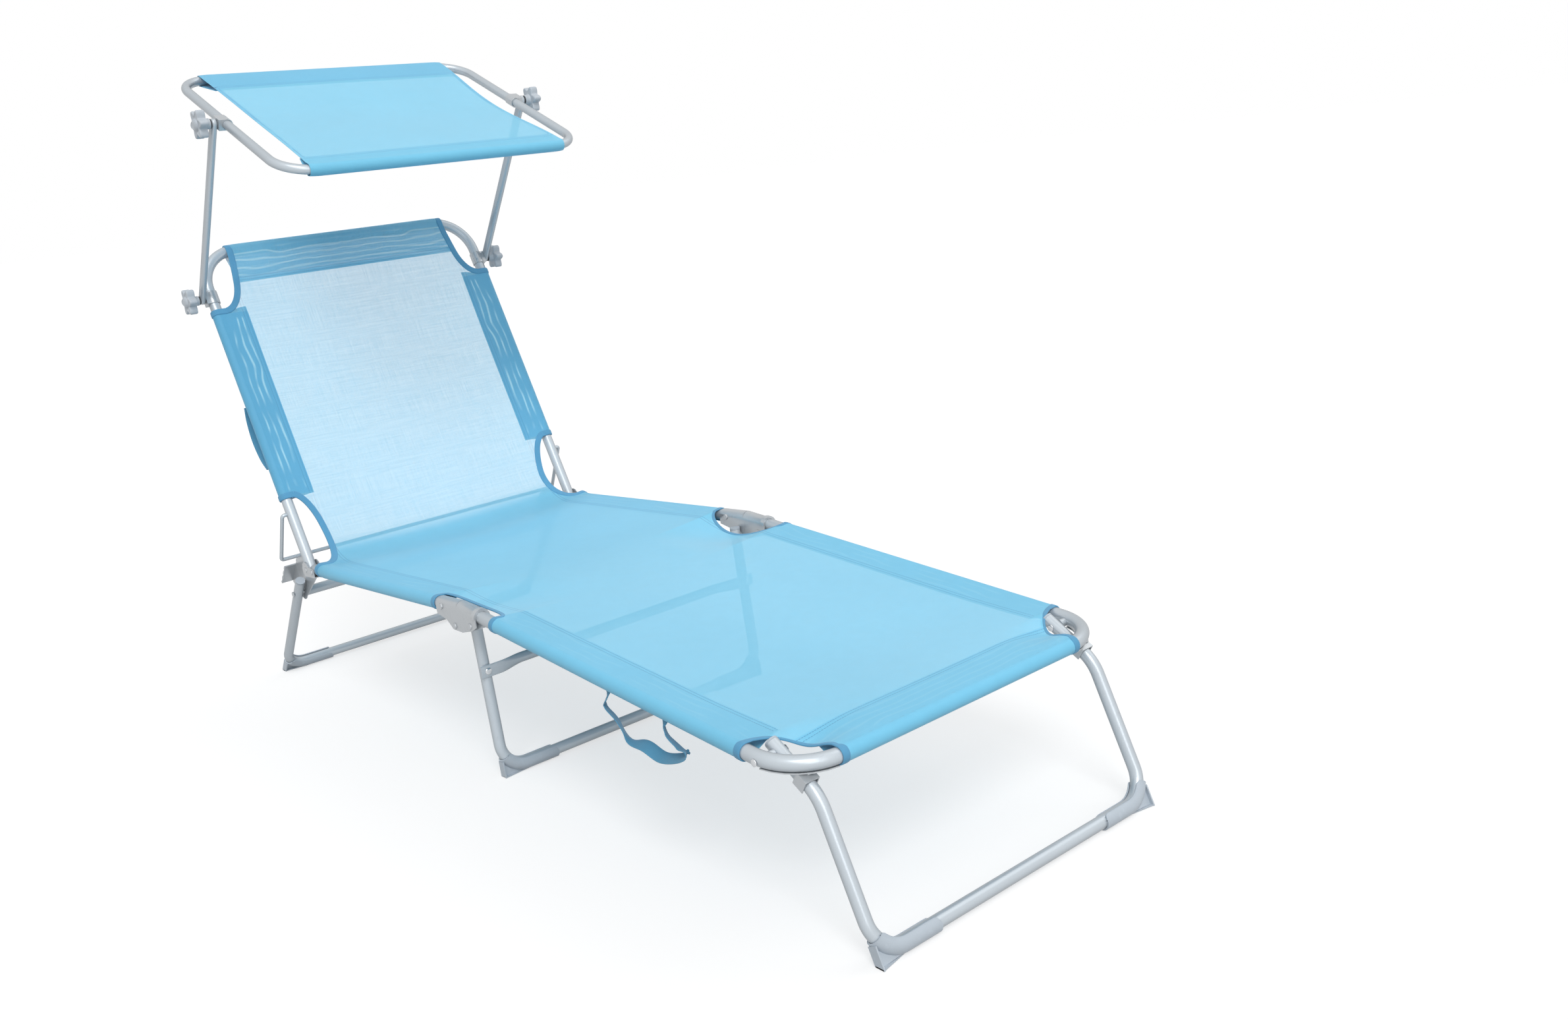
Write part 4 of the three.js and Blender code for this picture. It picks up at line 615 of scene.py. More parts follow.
def lathe(pile, origin, axis, profile, sides):
    # A profile of (distance along the axis, radius) turned about the axis; it starts and ends on the axis.
    axis, profile = np.array(axis, float), np.array(profile, float)
    side = levelAcross(axis)
    a = np.linspace(0, math.tau, sides, endpoint=False)[:, None]
    ring = side * np.cos(a) + np.cross(axis, side) * np.sin(a)
    points = np.array(origin, float) + axis * profile[:, :1, None] + ring * profile[:, 1:, None]
    pile.addGrid(points, closeColumns=True)


def rivetHead(pile, origin, axis, radius=0.005, height=0.0018):
    # Domed head: height follows a quarter ellipse from rim to crown, with a small flat rim.
    t = np.linspace(0, math.pi / 2, 9)
    dome = [(height * 0.25 + height * 0.75 * math.sin(v), radius * math.cos(v)) for v in t]
    lathe(pile, origin, axis, [(0.0, 0.0), (0.0, radius)] + dome, 28)


def bevelled(obj, width):
    # Edges of more than 32 degrees rounded over by the width.
    b = obj.modifiers.new("softEdges", "BEVEL")
    b.width, b.segments, b.limit_method, b.angle_limit = width, 2, "ANGLE", math.radians(32.0)


def dressed(node, look, bevel=0.0):
    # A cleaned copy of a solid: welded, flat areas joined, edges softened and shaded smooth.
    mesh = cadNodes[node].data.copy()
    work = bmesh.new()
    work.from_mesh(mesh)
    bmesh.ops.remove_doubles(work, verts=work.verts, dist=2e-6)
    bmesh.ops.dissolve_limit(work, angle_limit=math.radians(1.0), verts=work.verts, edges=work.edges)
    work.to_mesh(mesh)
    work.free()
    obj = addPiece(node + "_shell", mesh, look, bodyOfNode[node], 40.0)
    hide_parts(node)
    if bevel:
        bevelled(obj, bevel)


def finished(pile, name, look, body, node=None, smooth=38.0):
    # The pile as one piece: its look, its body and the node that it stands for.
    obj = addPiece(name, pile.toMesh(name), look, body, smooth)
    if node:
        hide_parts(node)
    return obj


def addPrism(pile, low, high):
    # A closed block between two matching outlines.
    pile.addCap(low, flip=True)
    pile.addCap(high)
    pile.addGrid(np.stack([low, high]), closeColumns=True)


def bothSides(points):
    # A run of points on the left, joined to its mirror image on the right: x becomes -x.
    return points + [Vector((-p.x, p.y, p.z)) for p in reversed(points)]


# tubes of the frame
tubes = {"railWall": 0.0012, "legWall": 0.0011, "canopyWall": 0.001, "footCorner": 0.072, "backCorner": 0.072,
         "backTail": 0.012, "canopyCorner": 0.058, "legCorner": 0.042, "frontKnee": 0.060, "sides": 40, "steps": 20}
pivots = {"footY": 0.724, "footDrop": 0.016, "frontY": 0.060, "frontDrop": 0.002, "midY": 0.775, "midDrop": 0.027,
          "rearY": 1.458, "rearDrop": 0.064, "standUp": 0.110, "standBack": 0.053, "standDrop": 0.0934}
footPivot = (pivots["footY"], footZ(pivots["footY"]) - pivots["footDrop"])
frontPivot = (pivots["frontY"], footZ(pivots["frontY"]) - pivots["frontDrop"])
midPivot = (pivots["midY"], seatZ(pivots["midY"]) - pivots["midDrop"])
rearPivot = (pivots["rearY"], lounger["hingeZ"] - pivots["rearDrop"])
standPivot = backPlace(pivots["standUp"])
standBar = (standPivot[0] + pivots["standBack"], standPivot[1] - pivots["standDrop"])
groundZ = 0.012  # axis of the ground bars
legs = {
    "front": {"half": 0.250, "foot": -0.076, "knee": (-0.002, 0.190), "pivot": frontPivot, "stub": 0.014},
    "mid": {"half": 0.258, "foot": 0.762, "knee": None, "pivot": midPivot, "stub": 0.010},
    "rear": {"half": 0.280, "foot": 1.610, "knee": None, "pivot": rearPivot, "stub": 0.035},
}


def addTube(node, body, corners, radii=(), radius=railRadius, wall=tubes["railWall"], sides=tubes["sides"],
            steps=tubes["steps"]):
    # One bent tube through its corners, in place of its node.
    pile = MeshPile()
    sweepRound(pile, roundedPath(corners, radii, steps), radius, sides, wall)
    finished(pile, node + "_round", "tube", body, node)


def addLeg(name, leg):
    # From the stub past the pivot, by the knee if there is one, to the ground corner, and its mirror image.
    lower = np.array(leg["knee"] or (leg["foot"], groundZ))
    rise = np.array(leg["pivot"]) - lower
    top = leg["pivot"] + rise / np.linalg.norm(rise) * leg["stub"]
    knee = [leg["knee"]] if leg["knee"] else []
    left = [place(-leg["half"], *map(float, p)) for p in [top, *knee, (leg["foot"], groundZ)]]
    radii = [tubes["frontKnee"]] * len(knee) + [tubes["legCorner"]]
    addTube(f"{name}_leg_tube", f"{name}_leg", bothSides(left), radii + radii[::-1], lounger["legRadius"],
            tubes["legWall"], steps=14)


for name, leg in legs.items():
    addLeg(name, leg)

# foot frame: bent tube, pivot lugs, spacers and rivets of the front leg
lug = {"radius": 0.008, "thick": 0.012, "fromDegrees": -100, "toDegrees": 60, "frontY": 0.690, "backY": 0.718,
       "inset": 0.006, "gap": 0.0004, "pin": 0.003, "spacer": 0.006, "railSkin": 0.0094, "spacerEnd": 0.2593,
       "pinEnd": 0.2404, "headAt": 0.2407, "outerHead": 0.0092}
left = [place(-halfWidth, lug["backY"], footZ(lug["backY"])), place(-halfWidth, 0, lounger["footEndZ"])]
lugArc = np.radians(np.linspace(lug["fromDegrees"], lug["toDegrees"], 12))
outline = [(lug["frontY"], footZ(lug["frontY"]) - lug["inset"]),
           (lug["frontY"], footZ(lug["frontY"]) - railRadius - lug["gap"])]
outline += [(footPivot[0] + lug["radius"] * math.cos(a), footPivot[1] + lug["radius"] * math.sin(a)) for a in lugArc]
outline += [(lug["backY"], footZ(lug["backY"]))]
outline = np.array(outline) - (lounger["middle"], 0)
pinY, pinZ = place(0, *frontPivot).yz
pile, rivets = MeshPile(), MeshPile()
sweepRound(pile, roundedPath(bothSides(left), [tubes["footCorner"]] * 2, tubes["steps"]), railRadius, tubes["sides"],
           tubes["railWall"])
for s in (-1, 1):
    x = s * halfWidth
    addPrism(pile, *(np.insert(outline, 0, x + d, axis=1) for d in (-lug["thick"] / 2, lug["thick"] / 2)))
    start = (x - s * lug["railSkin"], pinY, pinZ)
    sweepRound(pile, np.array([start, (s * lug["spacerEnd"], pinY, pinZ)]), lug["spacer"], 24)
    sweepRound(pile, np.array([start, (s * lug["pinEnd"], pinY, pinZ)]), lug["pin"], 20)
    rivetHead(rivets, (x + s * lug["outerHead"], pinY, pinZ), (s, 0, 0))
    rivetHead(rivets, (s * lug["headAt"], pinY, pinZ), (-s, 0, 0))
finished(pile, "foot_frame_tube_round", "tube", "foot_frame", "foot_frame_tube")
finished(rivets, "front_leg_rivets", "rivet", "foot_frame")

# seat rails, rear cross tube, back frame and its wire stand
seatRail = {"from": 0.765, "to": 1.344, "crossGap": 0.0022}
for side, s in (("left", -1), ("right", 1)):
    addTube(f"seat_rail_{side}", "seat_frame",
            [place(s * halfWidth, y, seatZ(y)) for y in (seatRail["from"], seatRail["to"])])
reach = halfWidth - railRadius - seatRail["crossGap"]
addTube("rear_cross_tube", "seat_frame", bothSides([place(-reach, *rearPivot)]), (), lounger["legRadius"],
        tubes["legWall"])
left = [place(-halfWidth, *backPlace(along)) for along in (-tubes["backTail"], lounger["backLength"])]
addTube("back_frame_tube", "back_frame", bothSides(left), [tubes["backCorner"]] * 2)
stand = {"outside": 0.0078, "bend": 0.0053}
out, hook = halfWidth + railRadius + stand["outside"], halfWidth + railRadius / 2
left = [place(-hook, *standPivot), place(-out, *standPivot), place(-out, *standBar)]
addTube("wire_stand", "stand", bothSides(left), [stand["bend"]] * 4, lounger["wireRadius"], 0.0, 20, 8)

# canopy frame
canopy = {"length": 0.4567, "slope": 23.76, "ahead": 0.2393, "clothHalf": 0.240, "over": 0.0013, "sag": 0.008,
          "rearHem": 0.070, "frontHem": 0.034, "frontHemUnder": 0.003, "rearHemUnder": 0.0035, "sideSeam": 0.008,
          "waist": 0.010, "frontSlack": 0.0016, "ripple": 0.0010, "rippleRun": 9.0, "rippleAcross": 2.2,
          "armBelowTop": 0.091, "armLength": 0.3887, "armDegrees": 129.49, "jointGap": 0.0003}
armPivot = backPlace(lounger["backLength"] - canopy["armBelowTop"])
canopyPivot = turnedFrom(armPivot, math.radians(canopy["armDegrees"]), canopy["armLength"], 0.0)
canopySlope = math.radians(canopy["slope"])


def canopyPlace(along, off=0.0):
    # A point along the canopy frame from its front rail, and off above it.
    return turnedFrom(canopyPivot, canopySlope, along - canopy["ahead"], off)


rear, front = canopyPlace(canopy["length"]), canopyPlace(0.0)
left = [place(-canopy["jointGap"], *rear), place(-halfWidth, *rear), place(-halfWidth, *front)]
addTube("canopy_frame_tube", "canopy_frame", bothSides(left), [tubes["canopyCorner"]] * 4, lounger["canopyRadius"],
        tubes["canopyWall"])

# middle brace: round tube pressed flat at both ends
brace = {"z": 0.178, "radius": 0.008, "tabHigh": 0.020, "tabThick": 0.0024, "neck": 0.045, "reach": 0.270,
         "tabIn": 0.237, "gap": 0.0003, "screwRadius": 0.0055, "screwHeight": 0.0022}
half, flatHalf, tabIn, neck = brace["tabThick"] / 2, brace["tabHigh"] / 2, brace["tabIn"], brace["neck"]
lean = (midPivot[0] - legs["mid"]["foot"]) / (midPivot[1] - groundZ)
braceY = legs["mid"]["foot"] + lean * (brace["z"] - groundZ) - lounger["middle"]
tabY = braceY - lounger["legRadius"] - brace["gap"] - half - flatHalf * lean
stations = np.concatenate([[-brace["reach"]], np.linspace(-tabIn, neck - tabIn, 14),
                           np.linspace(tabIn - neck, tabIn, 14), [brace["reach"]]])
full = ease((tabIn - np.abs(stations)) / neck)
path = np.stack([stations, tabY + (braceY - tabY) * full, np.full(len(stations), brace["z"])], 1)
pile, screws = MeshPile(), MeshPile()
sweepRound(pile, path, brace["radius"], 36, wide=half + (brace["radius"] - half) * full,
           thick=flatHalf + (brace["radius"] - flatHalf) * full)
for s in (-1, 1):
    rivetHead(screws, (s * legs["mid"]["half"], tabY - half, brace["z"]), (0, -1, 0), brace["screwRadius"],
              brace["screwHeight"])
finished(screws, "mid_leg_brace_screws", "rivet", "mid_leg")
finished(pile, "mid_leg_brace_round", "tube", "mid_leg", "mid_leg_brace")
print("tubes made")

# pressed plates, clamps, arms, washers and plugs from the solids: node, look, slot, bevel
copied = (("mid_hinge_bracket", "plate", "plate", 0.0005), ("ratchet_bracket", "plate", "plate", 0.0004),
          ("front_leg_catch", "plate", "plate", 0.0004), ("arm_clamp", "plate", "plate", 0.0004),
          ("canopy_clip", "plate", "plate", 0.0004), ("canopy_arm", "tube", "tube", 0.0),
          ("arm_washer", "dark", "black", 0.0003), ("canopy_washer", "dark", "black", 0.0003),
          ("front_leg_plug", "shoe", "shoe", 0.0006), ("mid_leg_plug", "shoe", "shoe", 0.0006),
          ("rear_leg_plug", "shoe", "shoe", 0.0006))
for side in ("left", "right"):
    for node, look, slot, bevel in copied:
        dressed(f"{node}_{side}", look, bevel)
dressed("canopy_joint_dowel", "tube")

# corner shoes
shoe = {"radius": 0.0117, "wall": 0.0024, "run": 0.094, "bendDegrees": 58, "lip": 0.003, "openDegrees": 45,
        "openMore": 0.75, "openOver": 0.009, "webThick": 0.004, "webUnder": 0.0096, "webLow": 0.0100,
        "baseHalf": 0.007, "baseTip": 0.0025, "baseThick": 0.002, "endThick": 0.0022, "endOut": 0.004,
        "endUp": 0.014, "endDown": 0.004, "floorZ": 0.0001, "arcPoints": 41, "lipPoints": 7}


def channelRing(opening, outer, inner):
    # Cross-section of an open channel: outer arc, rounded lip, inner arc back, rounded lip; the half
    # angle of the opening lies round +90 degrees, one value per station.
    t = np.linspace(0, 1, shoe["arcPoints"])[None]
    arc = math.pi / 2 + opening[:, None] + (math.tau - 2 * opening[:, None]) * t
    middle, lip = (outer + inner) / 2, (outer - inner) / 2
    turn = np.linspace(0, math.pi, shoe["lipPoints"] + 2)[1:-1][None]
    first, last = arc[:, :1], arc[:, -1:]
    radius = np.concatenate([np.full_like(arc, outer), middle + lip * np.cos(turn) + 0 * first,
                             np.full_like(arc, inner), middle - lip * np.cos(turn) + 0 * first], 1)
    angle = np.concatenate([arc, last + lip / middle * np.sin(turn), arc[:, ::-1],
                            first - lip / middle * np.sin(turn)], 1)
    return radius * np.cos(angle), radius * np.sin(angle)


def slidUp(points, upward):
    # Points below the floor go back up to it along the direction upward.
    short = np.maximum(shoe["floorZ"] - points[:, 2], 0) / upward[2]
    return points + short[:, None] * upward


def makeShoe(kind, side, s):
    # Open channel along the bend and the ground tube, a web in the corner under the bend, an upright
    # end wall and a flat base; what would pass the floor slides back up along the leg to it.
    leg = legs[kind]
    knee = leg["knee"] or leg["pivot"]
    lean = math.atan2(leg["foot"] - knee[0], knee[1] - groundZ)
    corner, half = tubes["legCorner"], leg["half"]
    across, upward = np.array((1.0, 0.0, 0.0)), np.array((0.0, -math.sin(lean), math.cos(lean)))
    normal = np.cross(across, upward)
    at = np.array(place(0, leg["foot"], groundZ))

    def put(u, v, w=0.0):
        # u outwards along the ground bar, v up the leg, w square to both
        u, v, w = np.broadcast_arrays(u, v, w)
        return at + s * (half + u)[..., None] * across + v[..., None] * upward + w[..., None] * normal

    def prism(outline, thick):
        # an outline in u and v, thick from side to side
        u, v = np.array(outline).T
        addPrism(pile, put(u, v, -thick / 2), put(u, v, thick / 2))

    bend = math.radians(shoe["bendDegrees"])
    a = np.linspace(bend, 0, 17)
    lead = np.linspace(shoe["lip"], 0, 4)[:-1]
    straight = np.linspace(-corner, -shoe["run"], 19)[1:]
    u = np.concatenate([-corner + corner * math.sin(bend) + lead * math.cos(bend), -corner + corner * np.sin(a),
                        straight])
    v = np.concatenate([corner - corner * math.cos(bend) + lead * math.sin(bend), corner - corner * np.cos(a),
                        0 * straight])
    angle = np.concatenate([0 * lead + bend, a, 0 * straight])
    length = runAlong(np.stack([u, v], 1))
    # the opening widens in a quarter round at both ends
    toEnd = np.minimum(length, length[-1] - length)
    rounded = 1 - np.sqrt(1 - np.clip(1 - toEnd / shoe["openOver"], 0, 1) ** 2)
    opening = math.radians(shoe["openDegrees"]) + rounded * shoe["openMore"]
    ringSide, ringIn = channelRing(opening, shoe["radius"], shoe["radius"] - shoe["wall"])
    inU, inV = -np.sin(angle), np.cos(angle)
    rings = put(u[:, None] + ringIn * inU[:, None], v[:, None] + ringIn * inV[:, None], ringSide)
    pile = MeshPile()
    pile.addGrid(rings, closeColumns=True)
    arcs, lips = shoe["arcPoints"], shoe["lipPoints"]
    for end, flip in ((0, True), (-1, False)):
        # each end of the channel: its outer arc joined to its inner arc
        pile.addGrid(np.stack([rings[end, :arcs], rings[end, arcs + lips:2 * arcs + lips][::-1]]), flip=flip)
    drop = groundZ / math.cos(lean)
    outer, wall, deep = shoe["endOut"], shoe["endThick"], shoe["baseHalf"]
    share = np.linspace(0, 1, 12) * bend
    under = [(corner * (math.sin(b) - 1), corner * (1 - math.cos(b)) - shoe["webUnder"] * math.cos(b)) for b in share]
    rim = [(outer - wall / 2, shoe["endUp"] - 0.001), (outer - wall / 2, 0.001 - drop), (-corner, -shoe["webLow"])]
    prism(rim + under + [(corner * (math.sin(bend) - 1), corner * (1 - math.cos(bend)))], shoe["webThick"])
    low = -drop - shoe["endDown"]
    prism([(outer - wall, shoe["endUp"]), (outer, shoe["endUp"]), (outer, low), (outer - wall, low)], deep * 2)
    # the base narrows from the end wall to a tip under the bend
    footY, tipY, tip = float(put(0.0, -drop)[1]), float(at[1]), shoe["baseTip"]
    x = s * np.array([half + outer, half - corner, half - corner, half + outer])
    y = np.array([footY - deep, tipY - tip, tipY + tip, footY + deep])
    addPrism(pile, *(np.stack([x, y, np.full(4, z)], 1) for z in (shoe["floorZ"], shoe["baseThick"])))
    pile.points = [slidUp(p, upward) for p in pile.points]
    obj = finished(pile, f"{kind}_shoe_{side}_moulded", "shoe", f"{kind}_leg", f"{kind}_shoe_{side}")
    bevelled(obj, 0.0006)


for kind in legs:
    for side, s in (("left", -1), ("right", 1)):
        makeShoe(kind, side, s)

# star knobs
knob = {"radius": 0.0215, "lobe": 0.0042, "lobes": 6, "thick": 0.015, "hubRadius": 0.009, "hubThick": 0.009,
        "sides": 144, "roll": 0.0035, "rollPower": 0.8, "outside": 0.0154}  # the last: from the rail to the hub


def makeKnob(node, centreYZ, s):
    # Star outline radius + lobe * cos(lobes * angle), with its rim rolled over by a superellipse.
    a = np.linspace(0, math.tau, knob["sides"], endpoint=False)
    t = np.linspace(-math.pi / 2, math.pi / 2, 17)
    face, roll, hub = knob["thick"], knob["roll"], knob["hubRadius"]
    shrink = roll * (1 - np.abs(np.cos(t)) ** knob["rollPower"])
    height = face / 2 + np.sign(np.sin(t)) * (face / 2 - roll + roll * np.abs(np.sin(t)) ** knob["rollPower"])
    star = knob["radius"] + knob["lobe"] * np.cos(knob["lobes"] * a)
    # rings of (height, radius): flat back, rolled rim, sunk face, domed cap
    rings = [(0.0, 0.0 * star), (0.0, 0.3 * star), (0.0, 0.7 * star)]
    rings += [(h, star - k) for h, k in zip(height, shrink)]
    rings += [(face - 0.0006, star * 0.78), (face - 0.0012, star * 0.62)]
    rings += [(face + h, np.full_like(a, r)) for h, r in ((-0.0012, 0.0105), (0.0008, 0.0098), (0.0024, 0.0075),
                                                          (0.0034, 0.0035), (0.0036, 0.0))]
    y, z = place(0, *centreYZ).yz
    inner = halfWidth + railRadius + knob["outside"]
    reach, r = np.array([h for h, _ in rings])[:, None], np.stack([r for _, r in rings])
    x = s * (inner + knob["hubThick"] + reach)
    pile = MeshPile()
    pile.addGrid(np.stack(np.broadcast_arrays(x, y + r * np.cos(a), z + r * np.sin(a)), -1), closeColumns=True)
    lathe(pile, (s * inner, y, z), (s, 0, 0), [(0, 0), (0, hub - 0.001), (0.0006, hub - 0.0003), (0.0014, hub),
          (0.006, hub), (0.0085, hub + 0.0015), (0.0110, hub + 0.0030), (0.0110, 0)], 40)
    finished(pile, node + "_star", "knob", bodyOfNode[node], node, 50)


for side, s in (("left", -1), ("right", 1)):
    makeKnob(f"arm_knob_{side}", armPivot, s)
    makeKnob(f"canopy_knob_{side}", canopyPivot, s)
print("shoes and knobs made")

# the sling, one cloth over foot, seat and back
sling = {
    "over": 0.0112,        # from the rail's axis to the middle of the cloth
    "sag": 0.016,
    "sagFront": 0.234,     # the sag grows over this length behind the front rail
    "sagTop": 0.28,        # and fades over this one before the top rail
    "thick": 0.0006,
    "under": 0.0011,       # from the sheet down to the hem below it
    "sideHem": 0.052,
    "frontHem": 0.062,
    "topHem": 0.070,
    "frontHalf": 0.213,
    "topHalf": 0.226,
    "footSleeve": (0.085, 0.664),
    "seatSleeve": (0.838, 1.319),
    "backSleeve": (0.138, 0.520),
    "midCut": {-1: 0.024, 1: 0.045},
    "edgeDroop": {-1: 0.008, 1: 0.020},
    "edgeDroopFrom": 0.10,
    "cornerDroop": 0.013,
    "cornerDroopFrom": 0.13,
    "droopOver": 0.12,
    "cornerFrom": 0.010,   # the front corner is cut from here on
    "cornerBow": 0.012,
    "hingeCut": 0.042,
    "topRound": 0.070,
    "topWaist": 0.006,
    "fold": 0.075,
    "kinkFold": 0.074,
    "splitAt": 1.080,
    "columns": 72,
    "rowStep": 0.006,
}
along = {
    "foot0": sling["footSleeve"][0] / math.cos(footSlope),
    "foot1": sling["footSleeve"][1] / math.cos(footSlope),
    "seat0": footLength + (sling["seatSleeve"][0] - lounger["kinkY"]) / math.cos(seatSlope),
    "seat1": footLength + (sling["seatSleeve"][1] - lounger["kinkY"]) / math.cos(seatSlope),
    "back0": hingeAt + sling["backSleeve"][0],
    "back1": hingeAt + sling["backSleeve"][1],
}


def centreLine(s):
    # Rail line in Y and Z at distance s, with both corners rounded: an arc of radius fold / tan(turn / 2).
    s = np.asarray(s, float)
    y = s * math.cos(footSlope)
    z = lounger["footEndZ"] + s * math.sin(footSlope)
    angle = np.full_like(s, footSlope)
    for corner, at, before, after, fold in (
        ((lounger["kinkY"], lounger["kinkZ"]), footLength, footSlope, seatSlope, sling["kinkFold"]),
        ((lounger["hingeY"], lounger["hingeZ"]), hingeAt, seatSlope, backAngle, sling["fold"]),
    ):
        past = s - at
        on = past > fold
        y = np.where(on, corner[0] + past * math.cos(after), y)
        z = np.where(on, corner[1] + past * math.sin(after), z)
        angle = np.where(on, after, angle)
        turn = after - before
        radius = fold / math.tan(abs(turn) / 2)
        share = np.clip((past + fold) / (2 * fold), 0, 1)
        inside = (past >= -fold) & ~on
        sign = math.copysign(1.0, turn)
        startY, startZ = corner[0] - fold * math.cos(before), corner[1] - fold * math.sin(before)
        cy, cz = startY - sign * radius * math.sin(before), startZ + sign * radius * math.cos(before)
        a = before + turn * share
        y = np.where(inside, cy + sign * radius * np.sin(a), y)
        z = np.where(inside, cz - sign * radius * np.cos(a), z)
        angle = np.where(inside, a, angle)
    return y, z, angle


def sagAt(s):
    # Cloth hangs deepest in the middle of a section and is tight at the front and top rails.
    return sling["sag"] * ease(s / sling["sagFront"]) * ease((topAt - s) / sling["sagTop"])


def standOff(x, y, z, angle, off):
    # Points at x, off square to a line through y and z that climbs at the angle.
    return np.stack(np.broadcast_arrays(x, y - off * np.sin(angle) - lounger["middle"], z + off * np.cos(angle)), -1)


def clothAt(x, s, off):
    # A point at x, s along the rails and off above them.
    return standOff(x, *centreLine(s), off)


def sheetOff(x, s):
    # Over the rails, less a sag of 1 - (x / half)^2, less the droop of the free edges: sin^power along the cut.
    droop = 0.0
    atHinge = np.where(np.asarray(x) < 0, sling["edgeDroop"][-1], sling["edgeDroop"][1])
    for s0, s1, start, deep, power in (
        (along["foot1"], along["seat0"], sling["edgeDroopFrom"], atHinge, 1.0),
        (0.004, along["foot0"], sling["cornerDroopFrom"], sling["cornerDroop"], 2.0),
    ):
        share = np.clip((s - s0) / (s1 - s0), 0, 1)
        inside = ease((np.abs(x) - start) / sling["droopOver"])
        droop = droop + deep * np.abs(np.sin(math.pi * share)) ** power * inside
    return sling["over"] - sagAt(s) * (1 - np.clip(np.abs(x) / halfWidth, 0, 1) ** 2) - droop


def halfAt(s, side):
    # Half width of the cloth at s on one side: full over the sleeves, drawn in at the corners and hinges.
    s = np.asarray(s, float)
    full = np.full_like(s, halfWidth)
    toRail = halfWidth - railRadius
    # front corner: a slanted cut that bows into the cloth
    t = np.linspace(0, 1, 60)
    bow = sling["cornerBow"] * np.sin(math.pi * t)
    cornerS = sling["cornerFrom"] + (along["foot0"] - sling["cornerFrom"]) * t + bow
    cornerX = sling["frontHalf"] + (toRail - sling["frontHalf"]) * t - bow
    order = np.argsort(cornerS)
    full = np.where(s < along["foot0"], np.interp(s, cornerS[order], cornerX[order]), full)
    full = np.where(s <= sling["cornerFrom"], sling["frontHalf"], full)
    # hinge cut-outs: the edge leaves the rail square to it and follows a rounded D
    for s0, s1, deep, power in ((along["foot1"], along["seat0"], sling["midCut"][side], 0.55),
                                (along["seat1"], along["back0"], sling["hingeCut"], 0.60)):
        u = np.clip((s - s0) / (s1 - s0) * 2 - 1, -1, 1)
        cut = toRail - (deep - railRadius) * np.clip(1 - u * u, 0, 1) ** power
        full = np.where((s > s0) & (s < s1), cut, full)
    # top corner: a quarter round from the rail, then straight up to the top rail
    past, waist = s - along["back1"], sling["topWaist"]
    u = np.clip(past / sling["topRound"], 0, 1)
    cut = toRail - (toRail - sling["topHalf"] - waist) * np.sqrt(1 - (1 - u) ** 2) - waist * ease((past - 0.05) / 0.06)
    return np.where(past > 0, cut, full)


def rowStations(start, end):
    # Rows along the cloth: even steps, closer where a cut-out begins or ends.
    rows = list(np.arange(start, end, sling["rowStep"])) + [start, end]
    a = np.linspace(0, math.pi, 40)
    for s0, s1 in ((sling["cornerFrom"], along["foot0"]), (along["foot1"], along["seat0"]),
                   (along["seat1"], along["back0"]), (along["back1"], along["back1"] + sling["topRound"])):
        rows += list(s0 + (s1 - s0) * (1 - np.cos(a)) / 2)
        rows += [s0 - 0.0002, s0 + 0.0002, s1 - 0.0002, s1 + 0.0002]
    rows = np.unique(np.round([r for r in rows if start <= r <= end], 6))
    rows = rows[np.concatenate([[True], np.diff(rows) > 0.00015])]
    rows[-1] = end
    return rows


hemLook = {
    # how strong the light lines of a hem are, and how far it goes over to the colour of the hems
    "side": (0.15, 0.24),
    "back": (1.0, 1.0),
    "front": (0.15, 0.24),
    # the top hem keeps less of the hem colour than the back's side hems: painted light against the canopy's shadow on
    # it
    "top": (1.0, 0.36),
    "canopyRear": 0.62,
    "canopyFront": 0.16,
    "plainAt": (0.47, 0.10),  # shares of the length of a side hem without light lines
    "plainWide": 0.05,
    "depthInSleeve": 0.03,
}
openWeave = {"foot": 0.19, "seatLess": 0.13, "backMore": 0.86, "topMore": 1.5, "canopy": 0.20}
# painted shade in the fold at the back hinge: how dark, how far before the hinge and how wide
foldShade = {"dark": 0.17, "before": 0.03, "wide": 0.075}


